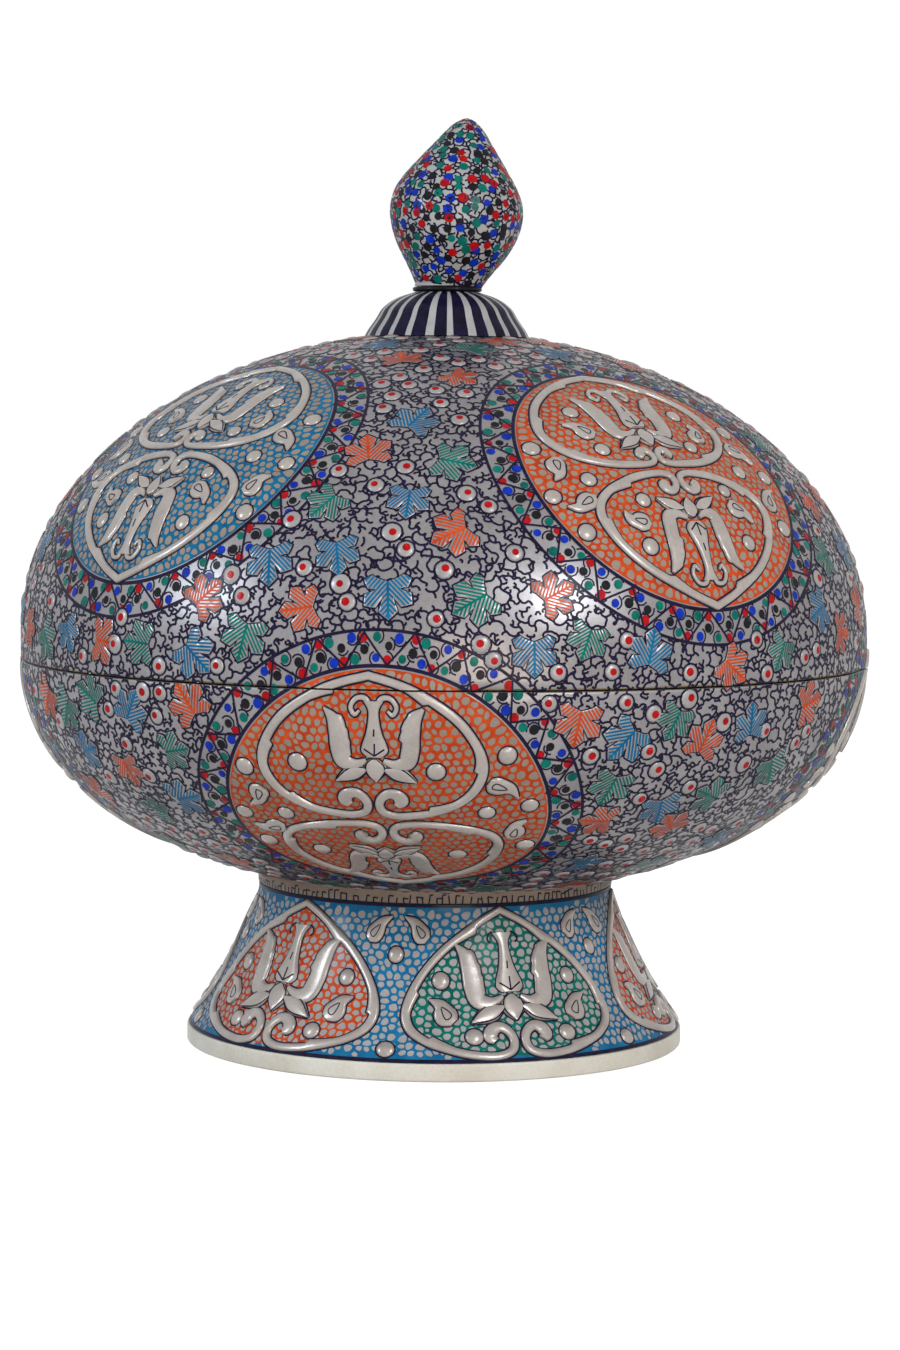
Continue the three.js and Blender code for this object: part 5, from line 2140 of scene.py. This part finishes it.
    def _pebbles(self, rng: Random) -> None:
        """Paints the reserved pebbles all over the flare.

        Args:
            rng: The source of the hand's unevenness.
        """
        low, high = self.HOOP_MARGIN, self.skin.climbs[-1] - self.NECK_MARGIN
        seeds = scatter(self.skin, -1.5, high + 2.7, self.pebble_pitch, self.PEBBLE_STRAY, rng)
        web = web_round(seeds, self.skin)
        sheet = Sheet()
        for seed, corners in web.cells():
            turn, climb = web.seeds[seed]
            if abs(turn) <= math.pi and low + 0.5 < climb < high - 0.5:
                patch = pebble(web.seeds[seed], corners, rng.uniform(*self.FILL_SHARES))
                sheet.cell(np.clip(patch, (-FULL_TURN, low), (FULL_TURN, high)), LIFTS.pebble)
        take_in(self.coat[Layer.SILVER_PEBBLES], sheet.bent(self.skin.wrap()))

    def _panel(self, azimuth: float) -> Panel:
        """Gives an empty drawing about an azimuth, in degrees."""
        return Panel(self.skin.wrap(math.radians(azimuth), self.skin.radius(self.widest_climb)))

    def _cartouche(self, number: int) -> None:
        """Draws one cartouche and makes its frame's piece.

        Args:
            number: The cartouche's number, from 0.
        """
        azimuth, half_angle = self.CARTOUCHES[number]
        panel = self._panel(azimuth)
        half_width = math.radians(half_angle) * self.skin.radius(self.widest_climb)
        length = self.skin.climbs[-1] - self.frame_start - self.frame_end
        drawing = HeartFrame(half_width, length, self.frame_start)
        colour = (Layer.TEAL_FIELDS, Layer.ORANGE_FIELDS)[number % 2]
        panel.sheets[colour].field(drawing.field(), LIFTS.field, FIELD_SQUARE)
        span = half_width * self.FLOWER_SHARE
        Lotus(0, self.FLOWER_PLACE, span, self.FLOWER_RISE, curled=False).draw(panel)
        share = half_width / self.USUAL_HALF_WIDTH
        for place, height, radius in self.PEARLS:
            panel.bead(place * share, height, radius)
        x, y, far_x, far_y = self.DROP
        for side in (-1, 1):
            ends = (side * x * share, y, side * far_x * share, far_y)
            panel.drop(ends, self.DROP_WIDTH, side * self.DROP_TURN)
        bm = panel.scroll(drawing)
        add_piece(f"foot_scroll_{number + 1}", bm, GESSO, "bowl", f"foot_cartouche_{number + 1}")
        panel.settle(self.coat)

    def _gap(self, azimuth: float) -> None:
        """Lays the drops and pearls between two cartouches.

        Args:
            azimuth: The gap's azimuth, in degrees.
        """
        panel = self._panel(azimuth)
        x, y, far_x, far_y = self.GAP_DROP
        for side in (-1, 1):
            ends = (side * x, y, side * far_x, far_y)
            panel.drop(ends, self.GAP_DROP_WIDTH, -side * self.GAP_DROP_TURN, self.GAP_DROP_RISE)
        for height, radius in self.GAP_PEARLS:
            panel.bead(0, height, radius, self.GAP_PEARL_RISE)
        panel.settle(self.coat)

    def _ink(self, rng: Random) -> None:
        """Inks the lines at the neck and the hoop, and the comb of short strokes on the neck band.

        Args:
            rng: The source of the hand's unevenness.
        """
        sheet = Sheet()
        end = self.skin.climbs[-1]
        turns = np.linspace(-math.pi, math.pi, 240, endpoint=False)
        for climb, width in ((end - self.NECK_INK / 2, self.NECK_INK), (self.HOOP_INK / 2, self.HOOP_INK)):
            round_it = np.column_stack([turns, np.full_like(turns, climb)])
            sheet.line(round_it, width, LIFTS.outline, True, self.foot_radius)
        take_in(self.coat[Layer.OUTLINES], sheet.bent(self.skin.wrap()))
        low, high = node_box("neck_ring")
        radius = (high.x - low.x) / 2
        band = TurnedSkin(np.array([radius, radius]), np.array([low.z, high.z]), low.z, self.centre_x)
        comb = Sheet()
        step = self.COMB_GAP / radius
        place = -math.pi
        while place < math.pi - step:
            top = rng.uniform(1.6, high.z - low.z - 0.3)
            points = [(place, 0.1), (place + rng.uniform(-0.2, 0.2) * step, top)]
            comb.line(np.array(points), self.COMB_INK, LIFTS.dot, spread=radius)
            if rng.random() < self.COMB_SHARE:
                far_end = (place + step * rng.uniform(0.5, 1.0), top - rng.uniform(-0.3, 0.5))
                comb.line(np.array([(points[1][0], top), far_end]), self.COMB_INK, LIFTS.dot, spread=radius)
            place += step * rng.uniform(0.7, 1.3)
        take_in(self.coat[Layer.OUTLINES], comb.bent(band.wrap()))


# The finial


@dataclass
class Finial:
    """The striped cap, the dark bead and the leaning bud on the lid's crown."""

    body: Body
    cap_radius: float = 29.4
    hole_radius: float = 4.3
    bud_radius: float = 23.7
    bud_length: float = 60.0
    glue: float = 0.3
    lean: float = math.radians(6.6)
    stub: float = 4.0
    stripes: int = 24
    stripe_steps: int = 10
    stripe_end: float = 0.42  # where the stripes end, as a share of the cap's radius
    around: int = 96
    tip_radius: float = 0.4  # the skin that is painted ends here
    edge: float = 0.6
    cell: float = 3.0
    cell_stray: float = 0.36
    drawn_share: float = 0.9
    line: float = 0.66
    dot_pitch: float = 4.4
    dot_stray: float = 0.28
    dot_radius: float = 1.65
    seed: int = 3

    CAP_SHARES = (
        (1, 0), (0.957, 0.15), (0.9, 0.3), (0.85, 0.44), (0.8, 0.6), (0.74, 0.71), (0.665, 0.81),
        (0.56, 0.905), (0.4, 1),
    )
    BUD_SHARES = (
        (0.49, 0), (0.56, 0.05), (0.655, 0.11), (0.835, 0.22), (0.962, 0.34), (1, 0.44), (0.965, 0.53),
        (0.87, 0.61), (0.71, 0.7), (0.46, 0.83), (0.23, 0.945), (0.1, 0.985), (0, 1),
    )

    def build(self) -> None:
        """Makes the finial's pieces and its dots."""
        self._cap()
        self._bead()
        self._bud()

    def _cap(self) -> None:
        """Makes the striped cap, whose foot follows the lid."""
        low, high = node_box("finial_cap")
        rise = high.z - self._crown(self.cap_radius)
        outer = smooth_line([(out * 30, up * 17) for out, up in self.CAP_SHARES], 4) / (30, 17)
        outer = [(out * self.cap_radius, high.z - rise * (1 - up)) for out, up in outer]
        seat_radii = np.linspace(self.hole_radius, self.cap_radius - 2, 8)
        seat = [(radius, self._crown(radius)) for radius in seat_radii]
        profile = [*outer, (self.hole_radius, high.z), *seat]
        bm = turn_profile(profile, self.stripes * self.stripe_steps, True)
        rng = Random(self.seed)
        pale = [rng.choice((3, 3, 4)) for _ in range(self.stripes)]
        for face in bm.faces:
            centre = face.calc_center_median()
            turn = (math.atan2(centre.x, -centre.y) / FULL_TURN) % 1 * self.stripes
            stripe = int(turn)
            in_stripe = (turn - stripe) * self.stripe_steps < pale[stripe]
            beyond = math.hypot(centre.x, centre.y) > self.cap_radius * self.stripe_end
            face.material_index = int(in_stripe and beyond)
        add_piece("striped_cap", bm, CAP_INK, "lid", "finial_cap", BUD_GROUND)

    def _crown(self, radius: float) -> float:
        """Gives the height of the cap's seat, just above the lid."""
        return self.body.form.height_at(radius, 1) + self.glue

    def _bead(self) -> None:
        """Makes the thin dark bead."""
        low, high = node_box("finial_bead")
        radius, half = (high.x - low.x) / 2, (high.z - low.z) / 2
        turns = np.linspace(-math.pi / 2, math.pi / 2, 9)
        bulge = np.column_stack([radius - half + half * np.cos(turns), low.z + half + half * np.sin(turns)])
        outer = bulge.tolist()
        bm = turn_profile([(self.hole_radius, low.z), *outer, (self.hole_radius, high.z)], self.around, True)
        add_piece("dark_bead", bm, BLACK, "lid", "finial_bead")

    def _bud(self) -> None:
        """Makes the bud and paints it."""
        base = node_levels("finial_bud")[0]
        line = smooth_line([(out * self.bud_radius, up * self.bud_length) for out, up in self.BUD_SHARES], 6)
        radii, heights = np.maximum(line[:, 0], 0.0), np.maximum.accumulate(line[:, 1])
        stub = [(0, -self.stub), (radii[0], -self.stub)]
        bm = turn_profile([*stub, *zip(radii.tolist(), heights.tolist())], self.around, False)
        self._tilt(bm, base)
        self._drill(bm, base)
        add_piece("dotted_bud", bm, BUD_GROUND, "lid", "finial_bud")
        whole = radii > self.tip_radius
        skin = TurnedSkin(radii[whole], heights[whole] + np.arange(whole.sum()) * 1e-6, 0.0)
        self._paint_bud(skin, base)

    def _drill(self, bm: BMesh, base: float) -> None:
        """Cuts the bud level at its base and drills the hole for the peg.

        Args:
            bm: The leaning bud.
            base: The height of its base.
        """
        result = bmesh.ops.bisect_plane(
            bm, geom=everything(bm), plane_co=(0, 0, base), plane_no=(0, 0, -1), clear_outer=True,
        )
        cut = of_kind(result["geom_cut"], BMEdge)
        floor = bmesh.ops.holes_fill(bm, edges=cut, sides=0)["faces"]
        bmesh.ops.inset_region(bm, faces=floor, thickness=1)
        for vert in {vert for face in floor for vert in face.verts}:
            away = Vector((vert.co.x, vert.co.y)).normalized() * self.hole_radius
            vert.co.x, vert.co.y = away
        top = bmesh.ops.extrude_discrete_faces(bm, faces=floor)["faces"]
        depth = node_levels("finial_peg")[1] - base + self.glue
        bmesh.ops.translate(bm, verts=list({vert for face in top for vert in face.verts}), vec=(0, 0, depth))

    def _paint_bud(self, skin: TurnedSkin, base: float) -> None:
        """Paints the bud's brushwork and its dots.

        Args:
            skin: The upright bud's skin.
            base: The height of its base.
        """
        end = skin.climbs[-1]
        rng = Random(self.seed)
        seeds = scatter(skin, self.edge, end - self.edge, self.cell, self.cell_stray, rng)
        lines, spread = broken_lines(web_round(seeds, skin), skin, self.drawn_share, default_rng(self.seed))
        lines[..., 1] = np.maximum(lines[..., 1], self.tip_radius)
        sheet = Sheet()
        sheet.strokes(lines, self.line, LIFTS.vermicelli, spread)
        self._paint("bud_brushwork", sheet, INK, skin, base)
        layers = (Layer.RED_DOTS, Layer.TEAL_DOTS, Layer.BLUE_DOTS, Layer.BLACK_DOTS)
        colours = {layer: Sheet() for layer in layers}
        for turn, climb in scatter(skin, 2.4, end - 2.2, self.dot_pitch, self.dot_stray, rng):
            layer = rng.choice(layers)
            radius = self.dot_radius * rng.uniform(0.8, 1.1)
            spread_here = float(skin.radius(climb))
            dot = circle(radius, 10, 0, 0) * (1 / max(spread_here, radius), 1) + (turn, climb)
            colours[layer].cell(dot, LIFTS.dot)
        for layer, sheet in colours.items():
            self._paint(f"bud_{layer.label}", sheet, layer.finish, skin, base)

    def _paint(self, name: str, sheet: Sheet, finish: Lacquer, skin: TurnedSkin, base: float) -> None:
        """Bends a sheet onto the leaning bud and makes its piece."""
        bm = sheet.bent(skin.wrap())
        self._tilt(bm, base)
        add_piece(name, bm, finish, "lid")

    def _tilt(self, bm: BMesh, base: float) -> None:
        """Leans a mesh and sets it on the bead."""
        bmesh.ops.rotate(bm, verts=bm.verts, cent=(0, 0, 0), matrix=Matrix.Rotation(self.lean, 3, "Y"))
        bmesh.ops.translate(bm, verts=bm.verts, vec=(0, 0, base))


# The studio


@dataclass(frozen=True)
class Softbox:
    """A soft lamp that faces the object, in metres and watts."""

    name: str
    direction: tuple[float, float, float]
    distance: float
    width: float
    height: float
    power: float
    colour: Colour = (0.88, 0.94, 1.0)

    def place(self, target: Vector) -> None:
        """Puts the lamp in the scene.

        Args:
            target: What it faces.
        """
        light = bpy.data.lights.new(self.name, "AREA")
        light.shape = "RECTANGLE"
        light.size, light.size_y = self.width, self.height
        light.energy = self.power
        light.color = self.colour
        lamp = add_object(self.name, light)
        lamp.location = target + Vector(self.direction).normalized() * self.distance
        lamp.rotation_euler = (target - lamp.location).to_track_quat("-Z", "Y").to_euler()
        lamp.visible_camera = False


@dataclass
class Studio:
    """The pale floor, the white room, the lamps and the camera."""

    floor_size: float = 8.0
    floor_depth: float = 0.0002
    floor_colour: tuple[float, ...] = (0.5, 0.5, 0.5, 1)
    floor_glow: float = 0.86
    room_light: float = 0.3
    target: tuple[float, float, float] = (0.0, 0.0, 0.15)
    lens: float = 95.97
    sensor: float = 36.0
    camera_place: tuple[float, float, float] = (0.0, -1.2913, 0.22585)
    yaw: float = 0.0018
    pitch: float = math.radians(4.174)
    roll: float = math.radians(0.564)

    LAMPS = (
        Softbox("left_softbox", (-0.81, -0.41, 0.34), 1.1, 0.2, 0.34, 5.2, (0.76, 0.88, 1.0)),
        Softbox("right_softbox", (0.435, -0.758, 0.4), 1.1, 0.22, 0.3, 6.0),
        Softbox("low_softbox", (0.2, -0.95, -0.05), 1.2, 0.5, 0.25, 2.8, (1.0, 0.84, 0.7)),
    )

    def build(self) -> None:
        """Sets the scene up."""
        for lamp in self.LAMPS:
            lamp.place(Vector(self.target))
        self._floor()
        self._room()
        self._camera()
        bpy.context.scene.view_settings.view_transform = "Standard"

    def _floor(self) -> None:
        """Makes the floor, which keeps the object's shadow."""
        bm = bmesh.new()
        bmesh.ops.create_grid(bm, x_segments=1, y_segments=1, size=self.floor_size / 2)
        bmesh.ops.translate(bm, verts=bm.verts, vec=(0, 0, -self.floor_depth))
        mesh = as_mesh(bm, "floor")
        floor = add_object("floor", mesh)
        material = bpy.data.materials.new("pale_floor")
        material.use_nodes = True
        tree = material.node_tree
        shader = tree.nodes["Principled BSDF"]
        set_inputs(shader, {"Base Color": self.floor_colour, "Roughness": 0.9, "Emission Color": WHITE})
        glow = add_sum(tree, "MULTIPLY", self._seen(tree), self.floor_glow)
        tree.links.new(glow, shader.inputs["Emission Strength"])
        mesh.materials.append(material)

    def _room(self) -> None:
        """Makes the room: white to the eye and in reflections, softer as a light."""
        world = bpy.data.worlds.new("white_room")
        bpy.context.scene.world = world
        world.use_nodes = True
        tree = world.node_tree
        background = tree.nodes["Background"]
        set_inputs(background, {"Color": WHITE})
        strength = tree.nodes.new("ShaderNodeMapRange")
        set_inputs(strength, {"To Min": self.room_light, "To Max": 1.0})
        tree.links.new(self._seen(tree), strength.inputs["Value"])
        tree.links.new(strength.outputs["Result"], background.inputs["Strength"])

    @staticmethod
    def _seen(tree: NodeTree) -> NodeSocket:
        """Adds a mask that is 1 where the eye sees a surface, also by reflection or through glass."""
        path = tree.nodes.new("ShaderNodeLightPath").outputs
        seen = add_sum(tree, "MAXIMUM", path["Is Camera Ray"], path["Is Glossy Ray"])
        return add_sum(tree, "MAXIMUM", seen, path["Is Transmission Ray"])

    def _camera(self) -> None:
        """Places the camera at the photograph's angle."""
        camera = bpy.data.cameras.new("camera")
        camera.lens, camera.sensor_width = self.lens, self.sensor
        holder = add_object("camera", camera)
        bpy.context.scene.camera = holder
        turns = ((-self.yaw, "Z"), (math.pi / 2 - self.pitch, "X"), (self.roll, "Z"))
        matrix = Matrix.Translation(self.camera_place)
        for angle, axis in turns:
            matrix = matrix @ Matrix.Rotation(angle, 4, axis)
        holder.matrix_world = matrix


# The bowl as a whole

LID_FLOWERS = ((-1.8, 13.4, 16.6, 28.0), (-0.8, -18.8, 15.4, 26.5))
BOWL_FLOWERS = ((-1.4, 20.8, 17.0, 23.2), (-2.2, -22.4, 15.4, 22.5))
LID_PLACES = ((36.6, 69.8), (128, 72.6), (220, 72.6), (313, 75.9))
BOWL_PLACES = ((-8, -56.8), (86.5, -56.8), (176, -56.8), (266.5, -56.8))


def medallions() -> list[Medallion]:
    """Gives the lid's medallions and the bowl's, orange and blue in turn.

    Returns:
        The medallions.
    """
    made = []
    for part, places, flowers in (("lid", LID_PLACES, LID_FLOWERS), ("bowl", BOWL_PLACES, BOWL_FLOWERS)):
        for number, place in enumerate(places):
            colour = (Layer.ORANGE_FIELDS, Layer.SKY_FIELDS)[number % 2]
            made.append(Medallion(f"{part}_medallion_{number + 1}", *place, colour, *flowers, part == "lid"))
    return made


def dress_hidden_parts() -> None:
    """Gives the parts inside the bowl their raw finishes."""
    for node, finish in (("foot_top_disc", RAW_PAPER), ("peg_washer", RAW_PAPER), ("finial_peg", PEG_WOOD)):
        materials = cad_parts[node].data.materials
        materials.clear()
        materials.append(finish.material())


def main() -> None:
    """Builds the whole scene."""
    logging.basicConfig(level=logging.INFO, format="%(message)s")
    Studio().build()
    body = Body()
    body.build()
    coat = Coat(bmesh.new)
    ornament = medallions()
    for number, medallion in enumerate(ornament):
        medallion.build(body, coat, number)
    Ground(body, [medallion.centre(body) for medallion in ornament], coat).build()
    add_body_layers(body, coat)
    Foot(body).build()
    Finial(body).build()
    dress_hidden_parts()


if __name__ == "__main__":
    main()
